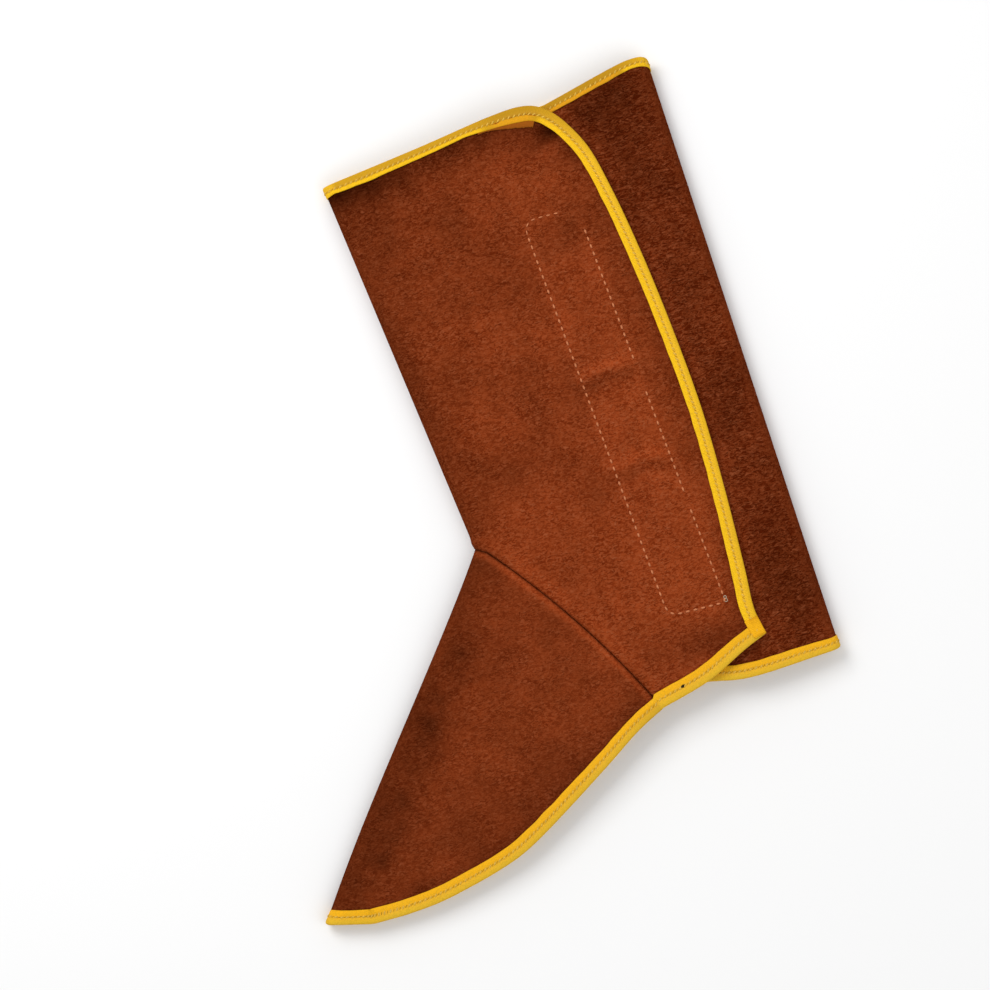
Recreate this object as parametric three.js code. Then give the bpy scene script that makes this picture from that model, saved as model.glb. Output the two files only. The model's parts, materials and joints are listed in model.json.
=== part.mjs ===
// A welder's spat in split cowhide, closed and lying on its side: one leather wrap for
// the leg, one folded leather vamp for the foot, yellow tape folded over every hem, and a
// hook strip and a loop strip that hold the flap on the under-lap.
//
// Leg frame, in millimetres: +Y up the leg, X from the shin (negative) to the calf fold
// (near zero), +Z up from the surface that the spat lies on. The flap faces +Z.
import * as THREE from 'three';

const { lerp, smoothstep } = THREE.MathUtils;

// Leather, tape and strip sizes
const LEATHER = 1.5;
const TAPE = 0.7;
const CLEAR = 0.25;
const TAPE_LIP = 7.5;
const STRIP = { width: 38, length: 240, thick: 1.5 };
const STRIP_CLEAR = 0.45;

// Folds: how far the bend reaches sideways, and how high the upper layer stands there
const FOLD_REACH = 5;
const TOE_REACH = 4;
const UPPER_AT_FOLD = 13.75;
const UPPER_AT_TOE = 10.5;

// The lower layer lies flat and lifts by the tape's thickness along its hems
const LOWER = LEATHER / 2;
const HEM_LIFT = 1.05;
const HEM_LIFT_REACH = 22;

// Outlines in the leg frame, along the outside of the tape
const SHIN_TOP = { x: -200.4, y: -11 };
const ANKLE = { x: -182, y: -239.5 };
const TOE = { x: -332.8, y: -417.6 };
const FOOT_OF_SEAM = { x: -107.6, y: -358.6 };
const SEAM_BOW = 4.5;
const UNDERLAP_END_X = -110;

const FLAP_RIM = [
  { x: -37.6, y: -336 },
  { x: -39.7, y: -321 },
  { x: -37.7, y: -298 },
  { x: -34.2, y: -250 },
  { x: -32.3, y: -202 },
  { x: -33.8, y: -152 },
  { x: -37.4, y: -102 },
  { x: -42, y: -64 },
  { x: -47, y: -38 },
  { x: -53, y: -24 },
  { x: -60, y: -13 },
  { x: -68, y: -6 },
  { x: -77, y: -3 },
  { x: -92, y: -2.6 },
  { x: -140, y: -6.6 },
  { x: -194.4, y: -10.6 },
];
const FLAP_CORNER_ROW = 10;

const FLAP_HEM = [
  { x: -37.6, y: -336 },
  { x: -52, y: -341 },
  { x: -75, y: -351 },
  { x: -88, y: -354.6 },
  FOOT_OF_SEAM,
];
const VAMP_HEM = [
  FOOT_OF_SEAM,
  { x: -124.6, y: -366.4 },
  { x: -148.7, y: -380.7 },
  { x: -207.3, y: -412.4 },
  { x: -226.3, y: -418.5 },
  { x: -249.2, y: -423.2 },
  { x: -265, y: -425.6 },
  { x: -286, y: -426.4 },
  { x: -305.5, y: -425.6 },
];
const LOWER_HEM = [
  { x: -107.6, y: -358.1 },
  { x: -88, y: -353.4 },
  { x: -78, y: -352.4 },
  { x: -57, y: -356.4 },
  { x: -4.6, y: -357.2 },
];
const LOWER_TOP = [
  { x: -194.4, y: -10.6 },
  { x: -100, y: -6.5 },
  { x: -4.6, y: -1.5 },
];
const UNDERLAP_HEM = [
  { x: -4.6, y: -358.2 },
  { x: -57, y: -357.4 },
  { x: -79, y: -352.4 },
  { x: UNDERLAP_END_X, y: -349 },
];
const UNDERLAP_TOP = [
  { x: -4.6, y: 3.8 },
  { x: -12, y: 3.7 },
  { x: -53, y: -4 },
  { x: UNDERLAP_END_X, y: -15 },
];

// How far the two upper layers rise above their folds, across the leg
const UPPER_RISE = [
  { x: -193, underlap: -2, flap: 0 },
  { x: -155, underlap: -2, flap: 1.3 },
  { x: -125, underlap: -1.4, flap: 3.4 },
  { x: -100, underlap: -0.3, flap: 5.6 },
  { x: -80, underlap: 1.5, flap: 7.5 },
  { x: -65, underlap: 2.4, flap: 8.4 },
  { x: -52, underlap: 2.7, flap: 8.5 },
  { x: -42, underlap: 2.5, flap: 7.6 },
  { x: -30, underlap: 1.8, flap: 6.2 },
  { x: -4.6, underlap: 0, flap: 6.2 },
];

// Middle line of the hook strip, from its upper end to its lower end
const STRIP_TOP = { x: -80.6, y: -73 };
const STRIP_BOTTOM = { x: -71, y: -312.5 };

// Mesh fineness
const ROWS = 20;
const ROW_CROWDING = 1.4;
const FLAP_HEM_STEPS = 5;
const SEAM_STEPS = 7;
const LOWER_HEM_STEPS = 7;
const UNDERLAP_STEPS = 9;
const FOLD_STEPS = 6;
const VAMP_STEPS = 7;
const VAMP_ROWS = 12;
const STRIP_STEPS = 5;
const STRIP_LENGTH_STEPS = 15;
const OUTLINE_SAMPLES = 600;
const HEM_SAMPLES = 80;

const EDGE_INSET = TAPE + CLEAR;
const HEM_RING = 8;
const RING_INSET = EDGE_INSET + HEM_RING;
const SEAM_RING = 3;
const CORNER_STEP = 6;

// Share of the tape's half height where its outer fold starts to round
const TAPE_ROUND = 0.55;
// How much of the vamp's fall to the toe is eased; the rest is straight
const TOE_EASE = 0.5;

const COLOURS = { leather: 0x7d3818, tape: 0xf0b81e, strip: 0x3a2a20 };

// Plane geometry

const point = ({ x, y }) => new THREE.Vector2(x, y);
const between = (a, b, share) => a.clone().lerp(b, share);
const leftOf = (direction) => new THREE.Vector2(-direction.y, direction.x);

// The point that lies d1 from one line and d2 from another, both through p.
function cornerInset(p, n1, d1, n2, d2) {
  const k = n1.dot(n2);
  const scale = 1 - k * k;
  return p.clone()
    .addScaledVector(n1, (d1 - k * d2) / scale)
    .addScaledVector(n2, (d2 - k * d1) / scale);
}

// A smooth outline through a table's rows, with its inner side on the left or the right.
class Outline {
  constructor(rows, innerSide) {
    const stations = rows.map(({ x, y }) => new THREE.Vector3(x, y, 0));
    this.curve = new THREE.CatmullRomCurve3(stations, false, 'centripetal');
    this.curve.arcLengthDivisions = OUTLINE_SAMPLES;
    this.length = this.curve.getLength();
    this.innerSide = innerSide;
  }

  at(distance, inset = 0) {
    const share = THREE.MathUtils.clamp(distance / this.length, 0, 1);
    return point(this.curve.getPointAt(share)).addScaledVector(this.inward(distance), inset);
  }

  inward(distance) {
    const share = THREE.MathUtils.clamp(distance / this.length, 0, 1);
    const tangent = point(this.curve.getTangentAt(share)).normalize();
    return leftOf(tangent).multiplyScalar(this.innerSide);
  }

  distanceOf(p) {
    let best = 0;
    let nearest = Infinity;
    for (let i = 0; i <= OUTLINE_SAMPLES; i += 1) {
      const distance = (this.length * i) / OUTLINE_SAMPLES;
      const gap = this.at(distance).distanceTo(p);
      if (gap < nearest) {
        nearest = gap;
        best = distance;
      }
    }
    return best;
  }
}

const LEFT = 1;
const RIGHT = -1;
const flapRim = new Outline(FLAP_RIM, LEFT);
const flapHem = new Outline(FLAP_HEM, RIGHT);
const vampHem = new Outline(VAMP_HEM, RIGHT);
const lowerHem = new Outline(LOWER_HEM, LEFT);
const lowerTop = new Outline(LOWER_TOP, RIGHT);
const underlapHem = new Outline(UNDERLAP_HEM, RIGHT);
const underlapTop = new Outline(UNDERLAP_TOP, LEFT);

// Fold lines: the leather's middle on the outside of the bend, and the bend's axis
const shinDown = point(ANKLE).sub(point(SHIN_TOP)).normalize();
const vampDown = point(TOE).sub(point(ANKLE)).normalize();
const shinInward = leftOf(shinDown);
const vampInward = leftOf(vampDown);
const foldAt = (inset) => cornerInset(point(ANKLE), shinInward, inset, vampInward, inset);
const ankleFold = foldAt(LEATHER / 2);
const ankleAxis = foldAt(LEATHER / 2 + FOLD_REACH);
const ankleBend = Math.acos(shinDown.dot(vampDown));
const ankleGap = CLEAR / 2 + (LEATHER / 2) * Math.tan(ankleBend / 2);

// The seam bows a little towards the heel between its foot and the ankle
const seamMiddle = between(point(FOOT_OF_SEAM), ankleAxis, 0.5);
const seamChord = ankleAxis.clone().sub(point(FOOT_OF_SEAM)).normalize();
const seamControl = seamMiddle.addScaledVector(leftOf(seamChord), -2 * SEAM_BOW);
const seam = new THREE.QuadraticBezierCurve(point(FOOT_OF_SEAM), seamControl, ankleAxis);
const shaftSideOfSeam = (share) => leftOf(seam.getTangentAt(share)).multiplyScalar(-1);
const seamAt = (share, inset) => seam.getPointAt(share)
  .addScaledVector(shaftSideOfSeam(share), inset);

// Heights of the layers

// A smooth curve through one column of a table whose rows go up in x.
function profile(table, column, x) {
  const last = table.length - 2;
  let i = 0;
  while (i < last && x > table[i + 1].x) i += 1;
  const row = (k) => table[THREE.MathUtils.clamp(k, 0, last + 1)];
  const slope = (k) => (row(k + 1)[column] - row(k - 1)[column]) / (row(k + 1).x - row(k - 1).x);
  const width = row(i + 1).x - row(i).x;
  const t = THREE.MathUtils.clamp((x - row(i).x) / width, 0, 1);
  const fromLeft = (1 + 2 * t) * (1 - t) ** 2 * row(i)[column] + t * (1 - t) ** 2 * width * slope(i);
  const fromRight = (3 - 2 * t) * t * t * row(i + 1)[column] - t * t * (1 - t) * width * slope(i + 1);
  return fromLeft + fromRight;
}

const toeHem = new Outline([VAMP_HEM[VAMP_HEM.length - 1], TOE], RIGHT);
const boundHems = [lowerHem, lowerTop, vampHem, toeHem]
  .map((outline) => outline.curve.getSpacedPoints(HEM_SAMPLES));

function distanceToHem(p) {
  let nearest = Infinity;
  const probe = new THREE.Vector3(p.x, p.y, 0);
  const closest = new THREE.Vector3();
  const line = new THREE.Line3();
  for (const stations of boundHems) {
    for (let i = 1; i < stations.length; i += 1) {
      line.set(stations[i - 1], stations[i]).closestPointToPoint(probe, true, closest);
      nearest = Math.min(nearest, closest.distanceTo(probe));
    }
  }
  return nearest;
}

function lowerZ(p) {
  const hem = smoothstep(distanceToHem(p), RING_INSET, RING_INSET + HEM_LIFT_REACH);
  return LOWER + HEM_LIFT * (1 - hem);
}
const flapZ = (p) => UPPER_AT_FOLD + profile(UPPER_RISE, 'flap', p.x);
const underlapZ = (p) => UPPER_AT_FOLD + profile(UPPER_RISE, 'underlap', p.x);

const raise = (p, z) => new THREE.Vector3(p.x, p.y, z);

// Grids of the leather's middle surface: grid[column][row]

const rowShare = (row) => 1 - (1 - (row - 1) / (ROWS - 2)) ** ROW_CROWDING;

// Columns ruled between a lower and an upper hem, each with its ring of points inside it.
function ruledColumn({ hem, hemRing, top, topRing }) {
  const column = [hem];
  for (let row = 1; row < ROWS; row += 1) column.push(between(hemRing, topRing, rowShare(row)));
  column.push(top);
  return column;
}

function alongOutline(outline, from, to, share) {
  const distance = lerp(from, to, share);
  return { edge: outline.at(distance, EDGE_INSET), ring: outline.at(distance, RING_INSET) };
}

// The bend between two layers, from the upper one round to the lower one.
function bend(upper, lower, reach) {
  const columns = [];
  for (let step = 1; step < FOLD_STEPS; step += 1) {
    const angle = (Math.PI * step) / FOLD_STEPS;
    const share = (1 - Math.cos(angle)) / 2;
    columns.push(upper.map((from, row) => from.clone().lerp(lower[row], share)
      .add(raise(reach[row].clone().multiplyScalar(Math.sin(angle)), 0))));
  }
  return columns;
}

const seamFootRing = (outline, distance, inward) => cornerInset(
  point(FOOT_OF_SEAM), inward, outline, shaftSideOfSeam(0), distance,
);

const shinTopEdge = flapRim.at(flapRim.length, EDGE_INSET);
const shinTopRing = flapRim.at(flapRim.length, RING_INSET);
const ankleEdge = ankleAxis.clone().addScaledVector(shinDown, -ankleGap);
const ankleRing = ankleAxis.clone().addScaledVector(shinDown, -HEM_RING);

// The flap, from its free edge to the shin fold.
function flapColumns() {
  const cornerAt = flapRim.distanceOf(point(FLAP_RIM[FLAP_CORNER_ROW]));
  const tipInward = [flapRim.inward(0), flapHem.inward(0)];
  const tip = point(FLAP_RIM[0]);
  const tipEdge = cornerInset(tip, tipInward[0], EDGE_INSET, tipInward[1], EDGE_INSET);
  const tipRing = cornerInset(tip, tipInward[0], RING_INSET, tipInward[1], RING_INSET);
  const count = FLAP_HEM_STEPS + SEAM_STEPS;

  const hem = [tipEdge];
  const hemRing = [tipEdge];
  for (let i = 1; i < FLAP_HEM_STEPS; i += 1) {
    const share = (i - 1) / (FLAP_HEM_STEPS - 1);
    const station = alongOutline(flapHem, RING_INSET, flapHem.length, share);
    hem.push(station.edge);
    hemRing.push(i === 1 ? tipRing : station.ring);
  }
  const footInward = flapHem.inward(flapHem.length);
  hem.push(seamFootRing(EDGE_INSET, CLEAR / 2, footInward));
  hemRing.push(seamFootRing(RING_INSET, SEAM_RING, footInward));
  for (let i = 1; i < SEAM_STEPS; i += 1) {
    hem.push(seamAt(i / SEAM_STEPS, CLEAR / 2));
    hemRing.push(seamAt(i / SEAM_STEPS, HEM_RING));
  }
  hem.push(ankleEdge);
  hemRing.push(ankleRing);

  const top = [flapRim.at(cornerAt, EDGE_INSET)];
  const topRing = [flapRim.at(cornerAt, RING_INSET)];
  for (let i = 1; i <= count; i += 1) {
    const share = (i - 1) / (count - 1);
    const station = alongOutline(flapRim, cornerAt + CORNER_STEP, flapRim.length, share);
    top.push(station.edge);
    topRing.push(i === 1 ? topRing[0] : station.ring);
  }

  const edge = [tipEdge];
  const edgeRing = [tipRing];
  for (let row = 1; row < ROWS; row += 1) {
    const station = alongOutline(flapRim, RING_INSET, cornerAt - CORNER_STEP, rowShare(row));
    edge.push(station.edge);
    edgeRing.push(station.ring);
  }
  edge.push(top[0]);
  edgeRing[1] = tipRing;
  edgeRing[ROWS - 1] = topRing[0];

  const columns = [edge];
  for (let i = 1; i <= count; i += 1) {
    const ruled = ruledColumn({ hem: hem[i], hemRing: hemRing[i], top: top[i], topRing: topRing[i] });
    const pull = 1 - (i - 1) / (count - 1);
    for (let row = 1; row < ROWS; row += 1) {
      const straight = between(tipRing, topRing[0], rowShare(row));
      ruled[row].addScaledVector(edgeRing[row].clone().sub(straight), pull);
    }
    columns.push(ruled);
  }
  return columns.map((column) => column.map((p) => raise(p, flapZ(p))));
}

// The lower layer, from the shin fold to the calf fold.
function lowerColumns() {
  const count = SEAM_STEPS + LOWER_HEM_STEPS;
  const columns = [];
  for (let i = 0; i <= count; i += 1) {
    const topStation = alongOutline(lowerTop, 0, lowerTop.length, i / count);
    let hem = ankleEdge;
    let hemRing = ankleRing;
    if (i > 0 && i < SEAM_STEPS) {
      hem = seamAt(1 - i / SEAM_STEPS, CLEAR / 2);
      hemRing = seamAt(1 - i / SEAM_STEPS, HEM_RING);
    } else if (i === SEAM_STEPS) {
      const inward = lowerHem.inward(0);
      hem = seamFootRing(EDGE_INSET, CLEAR / 2, inward);
      hemRing = seamFootRing(RING_INSET, SEAM_RING, inward);
    } else if (i > SEAM_STEPS) {
      const share = (i - SEAM_STEPS) / LOWER_HEM_STEPS;
      const station = alongOutline(lowerHem, 0, lowerHem.length, share);
      hem = station.edge;
      hemRing = station.ring;
    }
    const top = i === 0 ? shinTopEdge : topStation.edge;
    const topRing = i === 0 ? shinTopRing : topStation.ring;
    columns.push(ruledColumn({ hem, hemRing, top, topRing }));
  }
  return columns.map((column) => column.map((p) => raise(p, lowerZ(p))));
}

// The under-lap, from the calf fold to its free end below the flap.
function underlapColumns() {
  const columns = [];
  for (let i = 0; i <= UNDERLAP_STEPS; i += 1) {
    const share = i / UNDERLAP_STEPS;
    const hem = alongOutline(underlapHem, 0, underlapHem.length, share);
    const top = alongOutline(underlapTop, 0, underlapTop.length, share);
    columns.push(ruledColumn({
      hem: hem.edge, hemRing: hem.ring, top: top.edge, topRing: top.ring,
    }));
  }
  return columns.map((column) => column.map((p) => raise(p, underlapZ(p))));
}

function shaftGrid() {
  const flap = flapColumns();
  const lower = lowerColumns();
  const underlap = underlapColumns();
  const shinUpper = flap[flap.length - 1];
  const foldTop = shinTopEdge.clone().addScaledVector(shinInward, -FOLD_REACH);
  const foldFoot = ankleFold.clone().addScaledVector(shinDown, -ankleGap);
  const span = shinUpper[ROWS].distanceTo(shinUpper[0]);
  const shinReach = shinUpper.map((p) => {
    const share = p.distanceTo(shinUpper[0]) / span;
    return between(foldFoot, foldTop, share).sub(point(p));
  });
  const calfReach = underlap[0].map(() => new THREE.Vector2(FOLD_REACH, 0));
  const calf = bend(underlap[0], lower[lower.length - 1], calfReach).reverse();
  return {
    grid: [...flap, ...bend(shinUpper, lower[0], shinReach), ...lower, ...calf, ...underlap],
    flapSteps: flap.length - 1,
    seamFoot: [FLAP_HEM_STEPS, flap.length + FOLD_STEPS - 1 + SEAM_STEPS],
  };
}

// The vamp, from its near hem over the fold to its far hem; rows run from the toe to the seam.
function vampGrid() {
  const toeAlongHem = vampHem.at(vampHem.length).sub(point(TOE)).normalize();
  const toeInward = leftOf(toeAlongHem);
  const toeFold = cornerInset(point(TOE), toeInward, EDGE_INSET, vampInward, LEATHER / 2);
  const toeAxis = cornerInset(point(TOE), toeInward, EDGE_INSET, vampInward, LEATHER / 2 + TOE_REACH);
  const seamFoot = seamFootRing(EDGE_INSET, -CLEAR / 2, vampHem.inward(0));
  const ringShare = RING_INSET / seam.getLength();
  const acrossAt = (i) => (i - 1) / (VAMP_STEPS - 1);
  const seamShareAt = (i) => (i === 0 ? 0 : lerp(ringShare, 1, acrossAt(i)));
  const upper = [];
  const reach = [];
  for (let row = 0; row <= VAMP_ROWS; row += 1) {
    const ringRow = VAMP_ROWS - 1;
    const share = row === 0 ? 1 : ((ringRow - (row - 1)) / ringRow);
    const toToe = row === 0 ? 1 : share * (1 - HEM_RING / toeAxis.distanceTo(ankleAxis));
    const hemDistance = row === 0 ? vampHem.length : share * (vampHem.length - CORNER_STEP);
    const atSeam = row === VAMP_ROWS;
    const gap = atSeam ? ankleGap : 0;
    const axis = between(ankleAxis, toeAxis, toToe).addScaledVector(vampDown, gap);
    const fold = between(ankleFold, toeFold, toToe).addScaledVector(vampDown, gap);
    reach.push(fold.clone().sub(axis));
    const edge = atSeam ? seamFoot : vampHem.at(hemDistance, EDGE_INSET);
    const ringAt = row === 1 ? vampHem.length : hemDistance;
    let ring = vampHem.at(ringAt, RING_INSET);
    if (row === 0) ring = between(edge, axis, 1 / VAMP_STEPS);
    const column = [edge];
    for (let i = 1; i < VAMP_STEPS; i += 1) {
      const across = acrossAt(i);
      const bow = 4 * SEAM_BOW * (1 - toToe) ** 2 * across * (1 - across);
      const bowed = between(ring, axis, across).addScaledVector(shaftSideOfSeam(0.5), bow);
      column.push(atSeam ? seamAt(seamShareAt(i), -CLEAR / 2) : bowed);
    }
    column.push(axis);
    upper.push(column.map((p, i) => {
      const seamZ = flapZ(seamAt(seamShareAt(i), 0));
      return raise(p, lerp(seamZ, UPPER_AT_TOE, lerp(toToe, smoothstep(toToe, 0, 1), TOE_EASE)));
    }));
  }
  const near = [];
  for (let i = 0; i <= VAMP_STEPS; i += 1) near.push(upper.map((row) => row[i]));
  const far = near.map((column) => column.map((p) => raise(p, lowerZ(p))));
  const fold = bend(near[VAMP_STEPS], far[VAMP_STEPS], reach);
  return [...near, ...fold, ...far.reverse()];
}

// Solids

// A closed mesh from quads and triangles, turned so that its faces look out.
function closedGeometry(vertices, triangles) {
  let volume = 0;
  for (const [a, b, c] of triangles) {
    volume += vertices[a].dot(vertices[b].clone().cross(vertices[c]));
  }
  const index = volume > 0 ? triangles.flat() : triangles.map(([a, b, c]) => [a, c, b]).flat();
  const geometry = new THREE.BufferGeometry().setFromPoints(vertices).setIndex(index);
  geometry.computeVertexNormals();
  return geometry;
}

const quad = (a, b, c, d) => [[a, b, c], [a, c, d]];

// Normals of a grid of points, each the mean of the faces round it.
function gridNormals(grid) {
  const normals = grid.map((column) => column.map(() => new THREE.Vector3()));
  const face = new THREE.Triangle();
  const normal = new THREE.Vector3();
  for (let c = 0; c + 1 < grid.length; c += 1) {
    for (let r = 0; r + 1 < grid[c].length; r += 1) {
      const corners = [[c, r], [c, r + 1], [c + 1, r + 1], [c + 1, r]];
      for (const [i, j, k] of [[0, 1, 2], [0, 2, 3]]) {
        const ids = [corners[i], corners[j], corners[k]];
        face.set(...ids.map(([col, row]) => grid[col][row]));
        face.getNormal(normal).multiplyScalar(face.getArea());
        ids.forEach(([col, row]) => normals[col][row].add(normal));
      }
    }
  }
  normals.forEach((column) => column.forEach((n) => n.normalize()));
  return normals;
}

// A wall between two offsets from a grid, closed round its rim.
function wallGeometry(grid, outer, inner) {
  const normals = gridNormals(grid);
  const columns = grid.length;
  const rows = grid[0].length;
  const layer = (offset) => grid.flatMap((column, c) => column.map(
    (p, r) => p.clone().addScaledVector(normals[c][r], offset),
  ));
  const vertices = [...layer(outer), ...layer(inner)];
  const at = (c, r) => c * rows + r;
  const under = (id) => id + columns * rows;
  const triangles = [];
  for (let c = 0; c + 1 < columns; c += 1) {
    for (let r = 0; r + 1 < rows; r += 1) {
      const [i, j, k, l] = [at(c, r), at(c, r + 1), at(c + 1, r + 1), at(c + 1, r)];
      triangles.push(...quad(i, j, k, l), ...quad(under(i), under(l), under(k), under(j)));
    }
  }
  const rim = [];
  for (let c = 0; c < columns - 1; c += 1) rim.push(at(c, 0));
  for (let r = 0; r < rows - 1; r += 1) rim.push(at(columns - 1, r));
  for (let c = columns - 1; c > 0; c -= 1) rim.push(at(c, rows - 1));
  for (let r = rows - 1; r > 0; r -= 1) rim.push(at(0, r));
  rim.forEach((id, i) => {
    const next = rim[(i + 1) % rim.length];
    triangles.push(...quad(id, next, under(next), under(id)));
  });
  return closedGeometry(vertices, triangles);
}

// Tape folded over a hem: each station holds the hem's point and one on the leather inside it.
function bindingGeometry(stations) {
  const inside = LEATHER / 2 + CLEAR;
  const outside = inside + TAPE;
  const section = [
    { out: null, up: outside },
    { out: 0, up: outside },
    { out: CLEAR + TAPE, up: outside * TAPE_ROUND },
    { out: CLEAR + TAPE, up: -outside * TAPE_ROUND },
    { out: 0, up: -outside },
    { out: null, up: -outside },
    { out: null, up: -inside },
    { out: CLEAR / 2, up: -inside },
    { out: CLEAR, up: -inside / 2 },
    { out: CLEAR, up: inside / 2 },
    { out: CLEAR / 2, up: inside },
    { out: null, up: inside },
  ];
  const size = section.length;
  const vertices = stations.flatMap(({ hem, hemNormal, ring, ringNormal }) => {
    const outward = hem.clone().sub(ring).normalize();
    const share = TAPE_LIP / HEM_RING;
    const lip = hem.clone().lerp(ring, share);
    const lipNormal = hemNormal.clone().lerp(ringNormal, share).normalize();
    return section.map(({ out, up }) => (out === null
      ? lip.clone().addScaledVector(lipNormal, up)
      : hem.clone().addScaledVector(outward, out).addScaledVector(hemNormal, up)));
  });
  const triangles = [];
  const last = (stations.length - 1) * size;
  for (let start = 0; start < last; start += size) {
    for (let i = 0; i < size; i += 1) {
      const next = (i + 1) % size;
      triangles.push(...quad(start + i, start + next, start + size + next, start + size + i));
    }
  }
  for (let i = 0; i < size / 2 - 1; i += 1) {
    const [a, b, c, d] = [i, i + 1, size - 2 - i, size - 1 - i];
    triangles.push(...quad(a, d, c, b), ...quad(last + a, last + b, last + c, last + d));
  }
  return closedGeometry(vertices, triangles);
}

// The stations of a binding along a walk of [column, row, ring column, ring row].
function bindingStations(grid, walk) {
  const normals = gridNormals(grid);
  return walk.map(([c, r, ringC, ringR]) => ({
    hem: grid[c][r],
    hemNormal: normals[c][r],
    ring: grid[ringC][ringR],
    ringNormal: normals[ringC][ringR],
  }));
}

const shaft = shaftGrid();
const vamp = vampGrid();

function topBindingStations() {
  const walk = [];
  for (let c = shaft.grid.length - 1; c >= 1; c -= 1) walk.push([c, ROWS, c, ROWS - 1]);
  walk.push([0, ROWS, 1, ROWS - 1]);
  for (let r = ROWS - 1; r >= 1; r -= 1) walk.push([0, r, 1, r]);
  return bindingStations(shaft.grid, walk);
}

function bottomBindingStations() {
  const [nearFoot, farFoot] = shaft.seamFoot;
  const flapWalk = [];
  for (let c = 0; c <= nearFoot; c += 1) flapWalk.push([c, 0, c, 1]);
  const end = vamp.length - 1;
  const vampWalk = [];
  for (let r = VAMP_ROWS; r >= 1; r -= 1) vampWalk.push([0, r, 1, r]);
  vampWalk.push([0, 0, 1, 1]);
  for (let c = 1; c < end; c += 1) vampWalk.push([c, 0, c, 1]);
  vampWalk.push([end, 0, end - 1, 1]);
  for (let r = 1; r <= VAMP_ROWS; r += 1) vampWalk.push([end, r, end - 1, r]);
  const heelWalk = [];
  for (let c = farFoot; c < shaft.grid.length; c += 1) heelWalk.push([c, 0, c, 1]);
  return [
    ...bindingStations(shaft.grid, flapWalk),
    ...bindingStations(vamp, vampWalk),
    ...bindingStations(shaft.grid, heelWalk),
  ];
}

// A strip of hook or loop tape that follows one of the upper layers.
function stripGrid(heightOf) {
  const top = point(STRIP_TOP);
  const along = point(STRIP_BOTTOM).sub(top).normalize();
  const across = leftOf(along);
  const grid = [];
  for (let i = 0; i <= STRIP_STEPS; i += 1) {
    const column = [];
    for (let j = 0; j <= STRIP_LENGTH_STEPS; j += 1) {
      const p = top.clone()
        .addScaledVector(across, STRIP.width * (0.5 - i / STRIP_STEPS))
        .addScaledVector(along, STRIP.length * (1 - j / STRIP_LENGTH_STEPS));
      column.push(raise(p, heightOf(p)));
    }
    grid.push(column);
  }
  return grid;
}

const seat = LEATHER / 2 + STRIP_CLEAR;
const finish = (color, roughness) => new THREE.MeshStandardMaterial({ color, roughness, metalness: 0 });
const leatherFinish = finish(COLOURS.leather, 0.95);
const tapeFinish = finish(COLOURS.tape, 0.75);
const stripFinish = finish(COLOURS.strip, 0.9);

function named(name, geometry, material) {
  const mesh = new THREE.Mesh(geometry, material);
  mesh.name = name;
  return mesh;
}

const spat = new THREE.Group().add(
  named('shaft', wallGeometry(shaft.grid, LEATHER / 2, -LEATHER / 2), leatherFinish),
  named('vamp', wallGeometry(vamp, LEATHER / 2, -LEATHER / 2), leatherFinish),
  named('top_binding', bindingGeometry(topBindingStations()), tapeFinish),
  named('bottom_binding', bindingGeometry(bottomBindingStations()), tapeFinish),
  named('hook_strip', wallGeometry(stripGrid(flapZ), -seat, -seat - STRIP.thick), stripFinish),
  named('loop_strip', wallGeometry(stripGrid(underlapZ), seat + STRIP.thick, seat), stripFinish),
);

// The origin lies on the surface, under the middle of the spat
const box = new THREE.Box3().setFromObject(spat, true);
const middle = box.getCenter(new THREE.Vector3());
spat.position.set(-middle.x, -middle.y, -box.min.z);

export default new THREE.Group().add(spat);
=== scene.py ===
"""A suede welding spat lying closed on its side: leather, bound hems, stitching and stage."""

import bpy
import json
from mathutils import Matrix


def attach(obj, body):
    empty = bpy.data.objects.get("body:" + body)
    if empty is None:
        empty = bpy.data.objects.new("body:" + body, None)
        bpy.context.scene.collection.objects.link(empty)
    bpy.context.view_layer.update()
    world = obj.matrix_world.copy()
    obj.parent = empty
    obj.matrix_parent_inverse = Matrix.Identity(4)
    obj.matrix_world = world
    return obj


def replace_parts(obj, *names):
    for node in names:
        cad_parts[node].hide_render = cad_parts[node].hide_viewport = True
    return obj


bl_info = {
    "name": "Welding spat",
    "version": (1, 0, 0),
    "blender": (4, 5, 0),
    "location": "3D View > Sidebar > Spat",
    "description": "Dresses the packed welding spat in suede, binding tape and thread",
    "category": "Object",
}

import json
import math

import bmesh
import bpy
import numpy as np
from bpy.props import FloatProperty, FloatVectorProperty, PointerProperty
from mathutils import Matrix, Vector, noise
from mathutils.kdtree import KDTree

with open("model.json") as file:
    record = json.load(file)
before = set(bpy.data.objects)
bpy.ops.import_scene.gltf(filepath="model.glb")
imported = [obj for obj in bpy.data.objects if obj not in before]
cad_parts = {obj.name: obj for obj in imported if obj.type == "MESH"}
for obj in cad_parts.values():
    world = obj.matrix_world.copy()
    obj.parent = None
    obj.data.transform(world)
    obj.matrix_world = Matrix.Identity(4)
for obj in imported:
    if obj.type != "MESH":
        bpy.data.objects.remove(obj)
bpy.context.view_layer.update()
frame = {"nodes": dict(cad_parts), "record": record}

# Sizes in millimetres in the leg frame: x runs from the shin to the calf fold at 0, y up the leg
MM = 0.001
LEATHER = 1.5
TAPE = 0.7
CLEAR = 0.25
EDGE_INSET = TAPE + CLEAR
HEM_RING = 8.0
RING_INSET = EDGE_INSET + HEM_RING
CORNER_STEP = 6.0
SEAM_RING = 3.0

FOLD_REACH = 5.0
TOE_REACH = 4.0
UPPER_AT_FOLD = 13.75
UPPER_AT_TOE = 10.5
LOWER = LEATHER / 2
HEM_LIFT = 1.05
HEM_LIFT_REACH = 22.0

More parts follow.
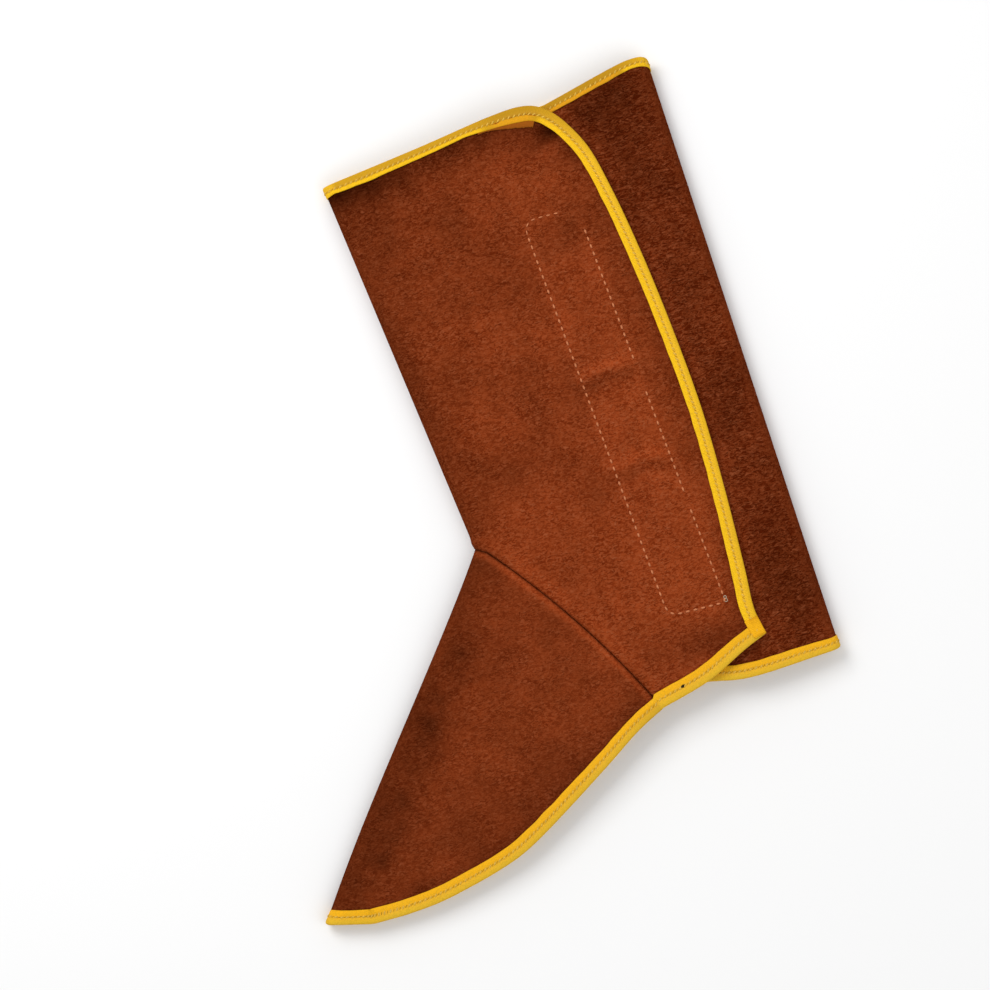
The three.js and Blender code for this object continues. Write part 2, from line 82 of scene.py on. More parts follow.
SHIN_TOP = (-200.4, -11.0)
ANKLE = (-182.0, -239.5)
TOE = (-332.8, -417.6)
FOOT_OF_SEAM = (-107.6, -358.6)
SEAM_BOW = 4.5
ANKLE_RAISE = 1.6
UNDERLAP_END_X = -110.0
VAMP_BOW = 1.7
ANKLE_FADE = 12

# The turned seam: sides, roll of each edge, gap, extra depth above the tape and where that starts
SHAFT_SIDE, VAMP_SIDE = 1, -1
SHAFT_ROLL, VAMP_ROLL = 1.2, 1.9
SEAM_GAP = 0.04
TURN_IN = 0.3
TURN_FROM = (10.0, 15.0)
UP, DOWN = 1, -1

# Outlines along the outside of the tape: x, y
FLAP_RIM = (
    (-37.6, -336.0), (-39.7, -321.0), (-37.7, -298.0), (-34.2, -250.0),
    (-32.3, -202.0), (-33.8, -152.0), (-37.4, -102.0), (-42.0, -64.0),
    (-47.0, -38.0), (-53.0, -24.0), (-60.0, -13.0), (-68.0, -6.0),
    (-77.0, -3.0), (-92.0, -2.6), (-140.0, -6.6), (-194.4, -10.6),
)
FLAP_CORNER = FLAP_RIM[10]
FLAP_HEM = ((-37.6, -336.0), (-52.0, -341.0), (-75.0, -351.0), (-88.0, -354.6), FOOT_OF_SEAM)
VAMP_HEM = (
    FOOT_OF_SEAM, (-124.6, -366.4), (-148.7, -380.7), (-207.3, -412.4), (-226.3, -418.5),
    (-249.2, -423.2), (-265.0, -425.6), (-286.0, -426.4), (-305.5, -425.6),
)
LOWER_HEM = ((-107.6, -358.1), (-88.0, -353.4), (-78.0, -352.4), (-57.0, -356.4), (-4.6, -357.2))
LOWER_TOP = ((-194.4, -10.6), (-100.0, -6.5), (-4.6, -1.5))
UNDERLAP_HEM = ((-4.6, -358.2), (-57.0, -357.4), (-79.0, -352.4), (UNDERLAP_END_X, -349.0))
UNDERLAP_TOP = ((-4.6, 3.8), (-12.0, 3.7), (-53.0, -4.0), (UNDERLAP_END_X, -15.0))

# Rise of the two upper layers above their folds: x, under-lap, flap
UPPER_RISE = np.array((
    (-193.0, -2.0, 0.0),
    (-155.0, -2.0, 1.3),
    (-125.0, -1.4, 3.4),
    (-100.0, -0.3, 5.6),
    (-80.0, 1.5, 7.5),
    (-65.0, 2.4, 8.4),
    (-52.0, 2.7, 8.5),
    (-42.0, 2.5, 7.6),
    (-30.0, 1.8, 6.2),
    (-4.6, 0.0, 6.2),
))
UNDERLAP_RISE, FLAP_RISE = 1, 2

# Stitch box on the flap: corners with their roundings, worn places, faint part, rise over the hide
STITCH_BOX = ((-96.8, -66.5, 9.0), (-64.8, -69.0, 12.0), (-54.2, -311.5, 3.0), (-88.0, -309.0, 7.0))
BOX_SIDES = (STITCH_BOX[0], STITCH_BOX[3]), (STITCH_BOX[1], STITCH_BOX[2])
WORN_STITCHES = ((-60.6, -171.0, 9.0), (-57.4, -250.0, 4.5), (-66.0, -71.5, 7.5))
FAINT_ABOVE, FAINT_SHARE = -74.0, 0.7
BOX_STITCH_RISE = 0.15

# The knotted thread end: place, rise over the hide, loops (offset, radius), beads and their size
THREAD_KNOT = (-53.7, -309.6)
KNOT_RISE = 0.3
KNOT_LOOPS = ((1.0, 0.75), (-0.9, 0.85))
KNOT_BEADS, BEAD_LENGTH, BEAD_WIDTH = 7, 1.0, 0.45

# The hook strip under the flap: middle and lean; bends across it: left and right end, y
STRIP_MIDDLE, STRIP_LEAN = (-76.0, -190.0), 0.05
BENT_STRIP = ((-95.0, -61.0, -163.0), (-93.0, -58.5, -219.0))
BEND_FADE = (6, 5)
BEND_WANDER, WANDER_SIZE = 2.5, (14, 60)

# Dark and light clouds in the tone, by layer: x, y, reach across and up, depth
FLAP_CLOUDS = (
    (-178, -40, 15, 30, -0.26), (-160, -25, 26, 11, -0.26), (-66, -24, 24, 10, -0.14),
    (-57, -38, 8, 12, -0.16), (-117, -75, 9, 9, -0.12), (-70, -78, 14, 9, -0.14),
    (-141, -54, 12, 14, -0.16), (-147, -202, 20, 13, -0.26), (-109, -233, 10, 10, -0.18),
    (-72, -331, 30, 11, -0.44), (-46, -318, 9, 16, -0.16), (-170, -236, 13, 12, 0.16),
    (-80, -103, 15, 14, 0.12),
)
UNDERLAP_CLOUDS = (
    (-14, -14, 16, 15, -0.20), (-40, -20, 14, 9, -0.14), (-15, -273, 14, 14, -0.13),
    (-12, -300, 14, 14, -0.06), (-28, -215, 10, 20, 0.08),
)
VAMP_CLOUDS = (
    (-176, -264, 9, 14, -0.14), (-199, -300, 18, 18, -0.12), (-174, -365, 12, 12, -0.16),
    (-219, -383, 20, 10, -0.14), (-255, -395, 12, 12, -0.12), (-149, -345, 24, 18, 0.20),
    (-224, -348, 24, 14, 0.16), (-287, -370, 14, 16, 0.14), (-318, -408, 20, 16, 0.30),
    (-145, -303, 8, 9, 0.16), (-135, -320, 8, 9, 0.14),
)

# Plain tone of each layer, and the lowest one
FLAP_TONE, UNDERLAP_TONE, LOWER_TONE, VAMP_TONE, DARKEST = 0.92, 0.64, 0.86, 0.86, 0.12

# Changes of tone, as hills: change, reach, distance of the middle from the line that they follow;
# several are light and shade painted into the hide, as marked below
# painted shade: the flap darkened where it rolls over the shin fold, and in a band along its rim tape
SHIN_FOLD_PAINTED_SHADE, RIM_PAINTED_SHADE, STITCH_SHADE = (-0.30, 13, 0), (-0.14, 11, 5), (0.12, 3, 0)
# painted light: the under-lap lightened beside the flap's rim, lifting the shadow cast by the flap's
# edge
STRIP_SHADE, UNDER_RIM_PAINTED_LIGHT = (0.10, 26, 0), (0.22, 6, 0)
# painted shade: the vamp darkened along its fold and in a band beside the lip of its hem tape
VAMP_FOLD_PAINTED_SHADE, HEM_PAINTED_SHADE, STAIN = (-0.28, 17, 0), (-0.16, 9, 6), (-0.15, 9, 14)
# painted shade in the seam's crease, with painted light on the flap beside it and a painted highlight
# on the vamp's rolled edge
FLAP_CREASE_PAINTED_LIGHT, VAMP_CREASE_PAINTED_HIGHLIGHT = (0.14, 4.0, 6.0), (0.45, 2.0, 2.4)
CREASE_PAINTED_SHADE, CREASE_WIDTH = 0.35, 1.2
# painted light and shade on the strip's bends and the corner's ridge, painted shade in the corner's
# dent
BOX_TONE, BEND_PAINTED_LIGHT_AND_SHADE, RIDGE_PAINTED_LIGHT_AND_SHADE, DENT_PAINTED_SHADE = 0.12, 0.30, 0.16, -0.20

# Changes of tone up the leg: how much, and the heights between which they come in
# painted shade: the band along the flap's rim deepens near the top, below the top tape
FOOT_LIGHT, TOE_DARK, TOP_PAINTED_SHADE = (0.15, -120, -300), (-0.10, -250, -400), (-0.30, -60, -20)

# Heights between which the strip's light and the stain come in, and the light in the box comes and goes
STRIP_TOP, STAIN_TOP = (-70, -120), (-262, -300)
BOX_TOP, BOX_FOOT, BOX_EDGE = (-82, -100), (-222, -246), 3

# Noise over the hide: share, size across and up the leg, seed
WAVES = ((0.5, 55, 80, 3.1), (0.16, 17, 22, 8.4))
DYE = ((0.16, 34, 34, 1.7), (0.12, 13, 15, 5.5))
UNDERLAP_DYE = 1.1
UNDERLAP_NOISE = ((-0.12, 60, 45, 2.2),)
STAIN_NOISE = ((-0.20, 9, 9, 6.6),)

# The hollow in the flap's round corner, given as a cloud is, and the ends of the ridge across it; the
# hollow is also darkened with painted shade
CORNER_DENT = ((-67.5, -20.5, 6.0, 5.0, 1.0),)
CORNER_CREASE = ((-82.6, -37.5), (-49.6, -26.4))

# Relief, as hills: height, reach, distance of the middle from the line that they follow
STITCH_PULL, LIP_PRESS = (-0.4, 2.0, 0), (-0.3, 3.5, 9.0)
SEAM_PUFF, ANKLE_PUFF = (0.8, 4.5, 6.0), (0.6, 2.5, 4.0)
BEND_LIT, BEND_SHADED = (1.0, 3.5, 2), (-1.1, 4, -5)
RIDGE, RIDGE_FOOT, RIDGE_FADE = (1.0, 4, 0), (-0.7, 4, 7), (6, 8)
BEND_RELIEF, RIDGE_RELIEF, DENT_RELIEF = 0.4, 0.4, -0.35

# The stub of tape under the round corner: stretch along the rim, widths, tuck, rises and grid
TAIL_START, TAIL_END, TAIL_TAPER = 377.0, 338.0, 30.0
TAIL_WIDTH, TAIL_LEAST, TAIL_TORN = 5.4, 0.2, 0.5
TAIL_TUCK, TAIL_OVERLAP = 5.0, 2.2
TAIL_RISE, TAIL_ROOT_RISE = 0.45, 0.35
TAIL_CUTS = (60, 8)

# The cut in the lower tape: place, inset from the hem, depth, length and width
TAPE_CUT = (-92.7, -350.9)
CUT_INSET, CUT_DEPTH, CUT_LENGTH, CUT_WIDTH = 4.6, 0.4, 4.2, 2.6

# The rest mount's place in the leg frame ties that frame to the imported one
REST_POINT = np.array((-98.0, -128.0, 0.0))
LEG_ZERO = np.array(frame["record"]["mounts"][0]["pos_m"]) - REST_POINT * MM

# The photograph's frame: its middle in the leg frame, its width and how far the leg leans in it
VIEW_MIDDLE = (-161.2, -211.3)
VIEW_WIDTH = 574.2
VIEW_LEAN = math.radians(-18.24)
VIEW_PLANE = 0.009
CAMERA_HEIGHT = 2.2
SENSOR = 36.0
SEEN_TO = 20.0

# The stage: floor, sky, and soft lights by place in the photograph's frame, height, size and power
FLOOR_REACH = 6.0
SKY_STRENGTH = 0.62
SOFT_LIGHTS = (
    ("key", -0.75, 0.75, 1.3, 0.9, 17.0),
    ("fill", 0.9, -0.5, 1.5, 1.4, 7.0),
)

# Grid numbering, as on the solids: columns across the wrap and rows up the leg
ROWS = 20
ROW_CROWDING = 1.4
FLAP_HEM_STEPS = 5
SEAM_STEPS = 7
FLAP_COLUMNS = FLAP_HEM_STEPS + SEAM_STEPS
LOWER_COLUMNS = SEAM_STEPS + 7
UNDERLAP_COLUMNS = 9
FOLD_STEPS = 6
SHIN_END = FLAP_COLUMNS + FOLD_STEPS
LOWER_END = SHIN_END + LOWER_COLUMNS
CALF_END = LOWER_END + FOLD_STEPS
SHAFT_COLUMNS = CALF_END + UNDERLAP_COLUMNS
VAMP_COLUMNS = 7
VAMP_ROWS = 12
VAMP_FAR = VAMP_COLUMNS + FOLD_STEPS
VAMP_END = VAMP_FAR + VAMP_COLUMNS


# Plane geometry

def mix(a, b, share):
    """Points between a and b."""
    share = np.asarray(share, float)[..., None]
    return a + (np.asarray(b) - a) * share


def ease(low, high, x):
    """A smooth step from 0 at low to 1 at high."""
    t = np.clip((x - low) / (high - low), 0, 1)
    return t * t * (3 - 2 * t)


def hill(distance, height, reach, middle):
    """A smooth hill across a line: its height at the middle, near 0 past twice its reach."""
    return height * np.exp(-((distance - middle) / reach) ** 2)


def lengths(points):
    """How far along a line of points each of them lies."""
    return np.concatenate([[0], np.cumsum(np.linalg.norm(np.diff(points, axis=0), axis=1))])


def between(at, places, values):
    """Rows of values read between their places."""
    return np.stack([np.interp(at, places, column) for column in values.T], axis=-1)


def hermite(t, a, out, b, into):
    """A cubic from a to b with its two end slopes."""
    start = (1 + 2 * t) * (1 - t) ** 2 * a + t * (1 - t) ** 2 * out
    return start + t * t * (3 - 2 * t) * b - t * t * (1 - t) * into


def left_of(direction):
    """A plane direction turned a quarter to the left."""
    direction = np.asarray(direction)
    return np.stack([-direction[..., 1], direction[..., 0]], axis=-1)


def unit(vectors):
    """Vectors at length one."""
    return vectors / np.linalg.norm(vectors, axis=-1, keepdims=True)


def corner_inset(p, n1, d1, n2, d2):
    """The point that lies d1 from one line and d2 from another, both through p."""
    k = float(np.dot(n1, n2))
    scale = 1 - k * k
    return np.asarray(p) + n1 * (d1 - k * d2) / scale + n2 * (d2 - k * d1) / scale


class Outline:
    """A smooth line through a few points, measured in millimetres along its length."""

    CUTS = 40

    def __init__(self, knots, inner_side):
        knots = np.array(knots, float)
        first, last = 2 * knots[0] - knots[1], 2 * knots[-1] - knots[-2]
        spread = np.vstack([first, knots, last])
        steps = np.sqrt(np.linalg.norm(np.diff(spread, axis=0), axis=1))
        share = np.linspace(0, 1, self.CUTS, endpoint=False)[:, None]
        spans = []
        for i in range(len(knots) - 1):
            p0, p1, p2, p3 = spread[i:i + 4]
            d0, d1, d2 = steps[i:i + 3]
            out = ((p1 - p0) / d0 - (p2 - p0) / (d0 + d1) + (p2 - p1) / d1) * d1
            into = ((p2 - p1) / d1 - (p3 - p1) / (d1 + d2) + (p3 - p2) / d2) * d1
            spans.append(hermite(share, p1, out, p2, into))
        self.points = np.vstack(spans + [knots[-1:]])
        self.along = lengths(self.points)
        self.length = self.along[-1]
        tangent = unit(np.gradient(self.points, self.along, axis=0))
        self.inward = inner_side * left_of(tangent)

    def look_up(self, distance, values):
        """Values of this line's points at distances along it."""
        return between(distance, self.along, values)

    def at(self, distance, inset=0.0):
        """Points at distances along the line, moved in from it."""
        inset = np.asarray(inset, float)[..., None]
        return self.look_up(distance, self.points) + self.look_up(distance, self.inward) * inset

    def distance_of(self, p):
        """How far along the line its nearest point to p lies."""
        return self.along[np.argmin(np.linalg.norm(self.points - np.asarray(p), axis=1))]


INNER_LEFT, INNER_RIGHT = 1, -1
rim = Outline(FLAP_RIM, INNER_LEFT)
flap_hem = Outline(FLAP_HEM, INNER_RIGHT)
vamp_hem = Outline(VAMP_HEM, INNER_RIGHT)
lower_hem = Outline(LOWER_HEM, INNER_LEFT)
lower_top = Outline(LOWER_TOP, INNER_RIGHT)
underlap_hem = Outline(UNDERLAP_HEM, INNER_RIGHT)
underlap_top = Outline(UNDERLAP_TOP, INNER_LEFT)
toe_hem = Outline((VAMP_HEM[-1], TOE), INNER_RIGHT)

# Fold lines and the axes of their bends
shin_down = unit(np.subtract(ANKLE, SHIN_TOP))
vamp_down = unit(np.subtract(TOE, ANKLE))
shin_inward = left_of(shin_down)
vamp_inward = left_of(vamp_down)
ankle_fold = corner_inset(ANKLE, shin_inward, LEATHER / 2, vamp_inward, LEATHER / 2)
ankle_tip = ankle_fold - shin_down * ANKLE_RAISE
AXIS_INSET = LEATHER / 2 + FOLD_REACH
ankle_axis = corner_inset(ANKLE, shin_inward, AXIS_INSET, vamp_inward, AXIS_INSET)
ANKLE_GAP = CLEAR / 4
ankle_edge = ankle_axis - shin_down * ANKLE_GAP
ankle_ring = ankle_axis - shin_down * SEAM_RING
toe_along = unit(np.subtract(VAMP_HEM[-1], TOE))
toe_inward = left_of(toe_along)
toe_fold = corner_inset(TOE, toe_inward, EDGE_INSET, vamp_inward, LEATHER / 2)
toe_axis = corner_inset(TOE, toe_inward, EDGE_INSET, vamp_inward, LEATHER / 2 + TOE_REACH)


def seam_line():
    """The seam from its foot to the ankle, bowed a little towards the heel."""
    foot = np.array(FOOT_OF_SEAM)
    bow = -2 * SEAM_BOW * left_of(unit(ankle_axis - foot))
    t = np.linspace(0, 1, 9)[:, None]
    control = (foot + ankle_axis) / 2 + bow
    return Outline((1 - t) ** 2 * foot + 2 * t * (1 - t) * control + t * t * ankle_axis, INNER_RIGHT)


seam = seam_line()
corner_at = rim.distance_of(FLAP_CORNER)


# Heights of the layers

def profile(column, x):
    """Rise of an upper layer across the leg."""
    stations, rise = UPPER_RISE[:, 0], UPPER_RISE[:, column]
    slope = np.empty_like(rise)
    slope[1:-1] = (rise[2:] - rise[:-2]) / (stations[2:] - stations[:-2])
    slope[[0, -1]] = np.diff(rise)[[0, -1]] / np.diff(stations)[[0, -1]]
    i = np.clip(np.searchsorted(stations, x) - 1, 0, len(stations) - 2)
    width = stations[i + 1] - stations[i]
    t = np.clip((x - stations[i]) / width, 0, 1)
    return hermite(t, rise[i], width * slope[i], rise[i + 1], width * slope[i + 1])


def flap_z(xy):
    """Height of the flap's middle."""
    return UPPER_AT_FOLD + profile(FLAP_RISE, xy[..., 0])


def underlap_z(xy):
    """Height of the under-lap's middle."""
    return UPPER_AT_FOLD + profile(UNDERLAP_RISE, xy[..., 0])


def points_tree(points):
    """A search tree of plane points."""
    tree = KDTree(len(points))
    for i, (x, y) in enumerate(points):
        tree.insert((x, y, 0), i)
    tree.balance()
    return tree


def distances(tree, xy):
    """How far each point is from the nearest one in a tree."""
    flat = np.reshape(xy, (-1, 2))
    found = [tree.find((x, y, 0))[2] for x, y in flat]
    return np.reshape(found, np.shape(xy)[:-1])


def hem_tree(*lines):
    """A search tree of points along outlines."""
    return points_tree(np.vstack([line.at(np.linspace(0, line.length, 500)) for line in lines]))


HEM_TREE = hem_tree(lower_hem, lower_top, vamp_hem, toe_hem)
NEAR_HEM_TREE = hem_tree(rim, flap_hem, vamp_hem, toe_hem)
SEAM_AT = np.linspace(0, seam.length, 600)
SEAM_POINTS = seam.at(SEAM_AT)
SEAM_INWARD = seam.look_up(SEAM_AT, seam.inward)
SEAM_TREE = points_tree(SEAM_POINTS)
CREASE_TREE = points_tree(np.vstack([SEAM_POINTS, mix(ankle_axis, ankle_tip, np.linspace(0, 1, 12))]))


def lower_z(xy):
    """Height of the lower layer's middle: flat, and lifted by the tape along its hems."""
    away = ease(RING_INSET, RING_INSET + HEM_LIFT_REACH, distances(HEM_TREE, xy))
    return LOWER + HEM_LIFT * (1 - away)


def raised(xy, z):
    """Plane points with their heights."""
    return np.concatenate([xy, z[..., None]], axis=-1)


# The leather's middle surface

def row_share(row):
    """How far up the leg a row lies between the two rings."""
    inner = np.clip(row, 1, ROWS - 1)
    return 1 - (1 - (inner - 1) / (ROWS - 2)) ** ROW_CROWDING


def ruled(row, hem, hem_ring, top_ring, top):
    """Points between a lower hem, row 0, and an upper one, row ROWS."""
    body = mix(hem_ring, top_ring, row_share(row))
    body = mix(body, hem, np.clip(1 - row, 0, 1))
    return mix(body, top, np.clip(row - (ROWS - 1), 0, 1))


def seam_foot(hem_inward, inset, away):
    """The point at the seam's foot that lies inset from a hem and away from the seam."""
    return corner_inset(FOOT_OF_SEAM, hem_inward, inset, seam.inward[0], away)


def seam_pair(share, hem_inward):
    """Edge and ring of the shaft along the seam, from its foot at 0 to the ankle at 1."""
    step = 1 / SEAM_STEPS
    along = np.clip(share, step, 1 - step) * seam.length
    edge, ring = seam.at(along, CLEAR / 2), seam.at(along, SEAM_RING)
    foot_edge = seam_foot(hem_inward, EDGE_INSET, CLEAR / 2)
    foot_ring = seam_foot(hem_inward, RING_INSET, SEAM_RING)
    at_foot = np.clip(1 - share / step, 0, 1)
    at_ankle = np.clip(1 - (1 - share) / step, 0, 1)
    edge = mix(mix(edge, foot_edge, at_foot), ankle_edge, at_ankle)
    return edge, mix(mix(ring, foot_ring, at_foot), ankle_ring, at_ankle)


def flap_xy(column, row):
    """Points of the flap, from its free edge at column 0 to the shin fold."""
    inner = np.maximum(column, 1)
    hem_at = np.interp(inner, (1, FLAP_HEM_STEPS), (RING_INSET, flap_hem.length))
    seam_share = np.clip((inner - FLAP_HEM_STEPS) / SEAM_STEPS, 0, 1)
    seam_edge, seam_ring = seam_pair(seam_share, flap_hem.inward[-1])
    on_hem = np.clip(FLAP_HEM_STEPS - inner, 0, 1)
    hem = mix(seam_edge, flap_hem.at(hem_at, EDGE_INSET), on_hem)
    hem_ring = mix(seam_ring, flap_hem.at(hem_at, RING_INSET), on_hem)
    start = corner_at + CORNER_STEP
    top_at = np.interp(inner, (1, FLAP_COLUMNS), (start, rim.length))
    second = start + (rim.length - start) / (FLAP_COLUMNS - 1)
    ring_at = np.interp(inner, (1, 2, FLAP_COLUMNS), (corner_at, second, rim.length))
    laid = ruled(row, hem, hem_ring, rim.at(ring_at, RING_INSET), rim.at(top_at, EDGE_INSET))
    ends = RING_INSET, corner_at - CORNER_STEP
    edge_at = np.interp(row_share(row), (0, 1), ends)
    bow = rim.at(edge_at, RING_INSET) - mix(*rim.at(np.array(ends), RING_INSET), row_share(row))
    pull = 1 - (inner - 1) / (FLAP_COLUMNS - 1)
    pull = pull * np.clip(row, 0, 1) * np.clip(ROWS - row, 0, 1)
    laid = laid + bow * pull[..., None]
    edge_at = np.where(row > ROWS - 1, corner_at - CORNER_STEP * (ROWS - row), edge_at)
    tip = corner_inset(FLAP_RIM[0], rim.inward[0], EDGE_INSET, flap_hem.inward[0], EDGE_INSET)
    edge = mix(rim.at(edge_at, EDGE_INSET), tip, np.clip(1 - row, 0, 1))
    return mix(edge, laid, np.clip(column, 0, 1))


def lower_xy(column, row):
    """Points of the lower layer, from the shin fold at column 0 to the calf fold."""
    hem_at = np.interp(column, (SEAM_STEPS, LOWER_COLUMNS), (0, lower_hem.length))
    seam_edge, seam_ring = seam_pair(np.clip(1 - column / SEAM_STEPS, 0, 1), lower_hem.inward[0])
    on_hem = np.clip(column - SEAM_STEPS, 0, 1)
    hem = mix(seam_edge, lower_hem.at(hem_at, EDGE_INSET), on_hem)
    hem_ring = mix(seam_ring, lower_hem.at(hem_at, RING_INSET), on_hem)
    top_at = lower_top.length * column / LOWER_COLUMNS
    at_shin = np.clip(1 - column, 0, 1)
    top = mix(lower_top.at(top_at, EDGE_INSET), rim.at(rim.length, EDGE_INSET), at_shin)
    top_ring = mix(lower_top.at(top_at, RING_INSET), rim.at(rim.length, RING_INSET), at_shin)
    return ruled(row, hem, hem_ring, top_ring, top)


def underlap_xy(column, row):
    """Points of the under-lap, from the calf fold at column 0 to its free end."""
    share = column / UNDERLAP_COLUMNS
    hem_at, top_at = share * underlap_hem.length, share * underlap_top.length
    return ruled(row, underlap_hem.at(hem_at, EDGE_INSET), underlap_hem.at(hem_at, RING_INSET),
                 underlap_top.at(top_at, RING_INSET), underlap_top.at(top_at, EDGE_INSET))


def bend(upper, lower, reach, turn):
    """Points round a fold: turn is 0 at the upper layer and 1 at the lower one."""
    angle = math.pi * turn
    points = mix(upper, lower, (1 - np.cos(angle)) / 2)
    points[..., :2] += reach * np.sin(angle)[..., None]
    return points


def seam_side(xy):
    """Distance from the seam, positive on the shaft's side, and the way to that side."""
    index = [SEAM_TREE.find((x, y, 0))[1] for x, y in xy]
    way, gap = SEAM_INWARD[index], xy - SEAM_POINTS[index]
    square = np.sum(gap * way, axis=1)
    whole = np.linalg.norm(gap, axis=1)
    return np.where(whole > 1, np.sign(square) * whole, square), way


def rolled(points, side, radius, inside):
    """Points near the seam turned into its crease: side 1 is the shaft, inside 1 is up."""
    away, way = seam_side(points[:, :2])
    above_tape = ease(*TURN_FROM, np.linalg.norm(points[:, :2] - FOOT_OF_SEAM, axis=1))
    radius = SHAFT_ROLL + (radius - SHAFT_ROLL) * above_tape
    past = np.maximum(radius + LEATHER / 2 + SEAM_GAP / 2 - side * away, 0)
    turned = past * (1 + TURN_IN * above_tape)
    angle = np.minimum(turned / radius, math.pi / 2)
    depth = radius * (1 - np.cos(angle)) + np.maximum(turned - radius * math.pi / 2, 0)
    points = points.copy()
    points[:, :2] += way * (side * (past - radius * np.sin(angle)))[:, None]
    points[:, 2] += inside * depth
    return points


def flap_points(column, row):
    """The flap in space."""
    xy = flap_xy(column, row)
    return rolled(raised(xy, flap_z(xy) + upper_relief(xy)), SHAFT_SIDE, SHAFT_ROLL, DOWN)


def lower_points(column, row):
    """The lower layer in space."""
    xy = lower_xy(column, row)
    return rolled(raised(xy, lower_z(xy)), SHAFT_SIDE, SHAFT_ROLL, UP)


def underlap_points(column, row):
    """The under-lap in space."""
    xy = underlap_xy(column, row)
    return raised(xy, underlap_z(xy) + noises(xy, WAVES))


def shin_bend(step, row):
    """The fold over the shin, from the flap round to the lower layer."""
    upper = flap_points(np.full_like(row, FLAP_COLUMNS), row)
    lower = lower_points(np.zeros_like(row), row)
    foot, top = flap_xy(np.full(2, float(FLAP_COLUMNS)), np.array((0.0, ROWS)))
    share = np.linalg.norm(upper[:, :2] - foot, axis=1) / np.linalg.norm(top - foot)
    outer = mix(ankle_tip - shin_down * ANKLE_GAP, top - shin_inward * FOLD_REACH, share)
    to_ankle = np.linalg.norm(outer - ankle_tip, axis=1)
    outer = outer - shin_inward * hill(to_ankle, *ANKLE_PUFF)[:, None]
    return bend(upper, lower, outer - upper[:, :2], step / FOLD_STEPS)


def calf_bend(step, row):
    """The fold over the calf, from the lower layer up to the under-lap."""
    upper = underlap_points(np.zeros_like(row), row)
    lower = lower_points(np.full_like(row, LOWER_COLUMNS), row)
    return bend(upper, lower, np.array((FOLD_REACH, 0.0)), 1 - step / FOLD_STEPS)


# First and last column of each zone of the leg wrap, and what lays it
SHAFT_ZONES = (
    (0, FLAP_COLUMNS, flap_points),
    (FLAP_COLUMNS, SHIN_END, shin_bend),
    (SHIN_END, LOWER_END, lower_points),
    (LOWER_END, CALF_END, calf_bend),
    (CALF_END, SHAFT_COLUMNS, underlap_points),
)


def shaft_points(column, row):
    """The whole leg wrap: flap, shin fold, lower layer, calf fold and under-lap."""
    column, row = np.asarray(column, float), np.asarray(row, float)
    points = np.empty(column.shape + (3,))
    for start, end, lay in SHAFT_ZONES:
        here = (column >= start) & (column <= end)
        if here.any():
            points[here] = lay(column[here] - start, row[here])
    return points


def vamp_near(column, row):
    """The vamp's upper side, from its hem at column 0 to the fold; row 0 is the toe."""
    inner = np.maximum(row, 1)
    share = (VAMP_ROWS - inner) / (VAMP_ROWS - 1)
    to_toe = share * (1 - HEM_RING / np.linalg.norm(toe_axis - ankle_axis))
    hem_at = share * (vamp_hem.length - CORNER_STEP)
    second = (VAMP_ROWS - 2) / (VAMP_ROWS - 1) * (vamp_hem.length - CORNER_STEP)
    ring_at = np.interp(inner, (1, 2, VAMP_ROWS), (vamp_hem.length, second, 0))
    across = np.clip((column - 1) / (VAMP_COLUMNS - 1), 0, 1)
    ankle = ankle_axis + vamp_down * ANKLE_GAP
    axis = mix(ankle, toe_axis, to_toe)
    ring_share = RING_INSET / seam.length
    along = np.where(column < 1, EDGE_INSET + HEM_RING * column,
                     seam.length * (ring_share + (1 - ring_share) * across))
    on_seam = mix(seam.at(along, -CLEAR / 2), ankle, np.clip(column - (VAMP_COLUMNS - 1), 0, 1))
    edge = vamp_hem.at(hem_at, EDGE_INSET)
    laid = mix(vamp_hem.at(ring_at, RING_INSET), axis, across)
    laid = mix(edge, laid, np.clip(column, 0, 1))
    first = mix(vamp_hem.at(0, RING_INSET), ankle, across)
    first = mix(vamp_hem.at(0, EDGE_INSET), first, np.clip(column, 0, 1))
    laid = laid + (on_seam - first) * ((1 - to_toe) ** 2)[..., None]
    at_toe = np.clip(1 - row, 0, 1)
    toe = mix(vamp_hem.at(vamp_hem.length, EDGE_INSET), toe_axis, column / VAMP_COLUMNS)
    xy = mix(laid, toe, at_toe)
    to_toe = to_toe + (1 - to_toe) * at_toe
    seam_z = flap_z(seam.at(along))
    height = seam_z + (UPPER_AT_TOE - seam_z) * (0.5 * ease(0, 1, to_toe) + 0.5 * to_toe)
    return xy, height, to_toe


def vamp_side(column, row, far, relief=True):
    """One side of the vamp in space; without relief, its edge along the seam stays flat too."""
    xy, height, _ = vamp_near(column, row)
    if far:
        height = lower_z(xy)
    elif relief:
        height = height + vamp_relief(xy)
    points = raised(xy, height)
    if not relief:
        return points
    return rolled(points, VAMP_SIDE, SHAFT_ROLL if far else VAMP_ROLL, UP if far else DOWN)


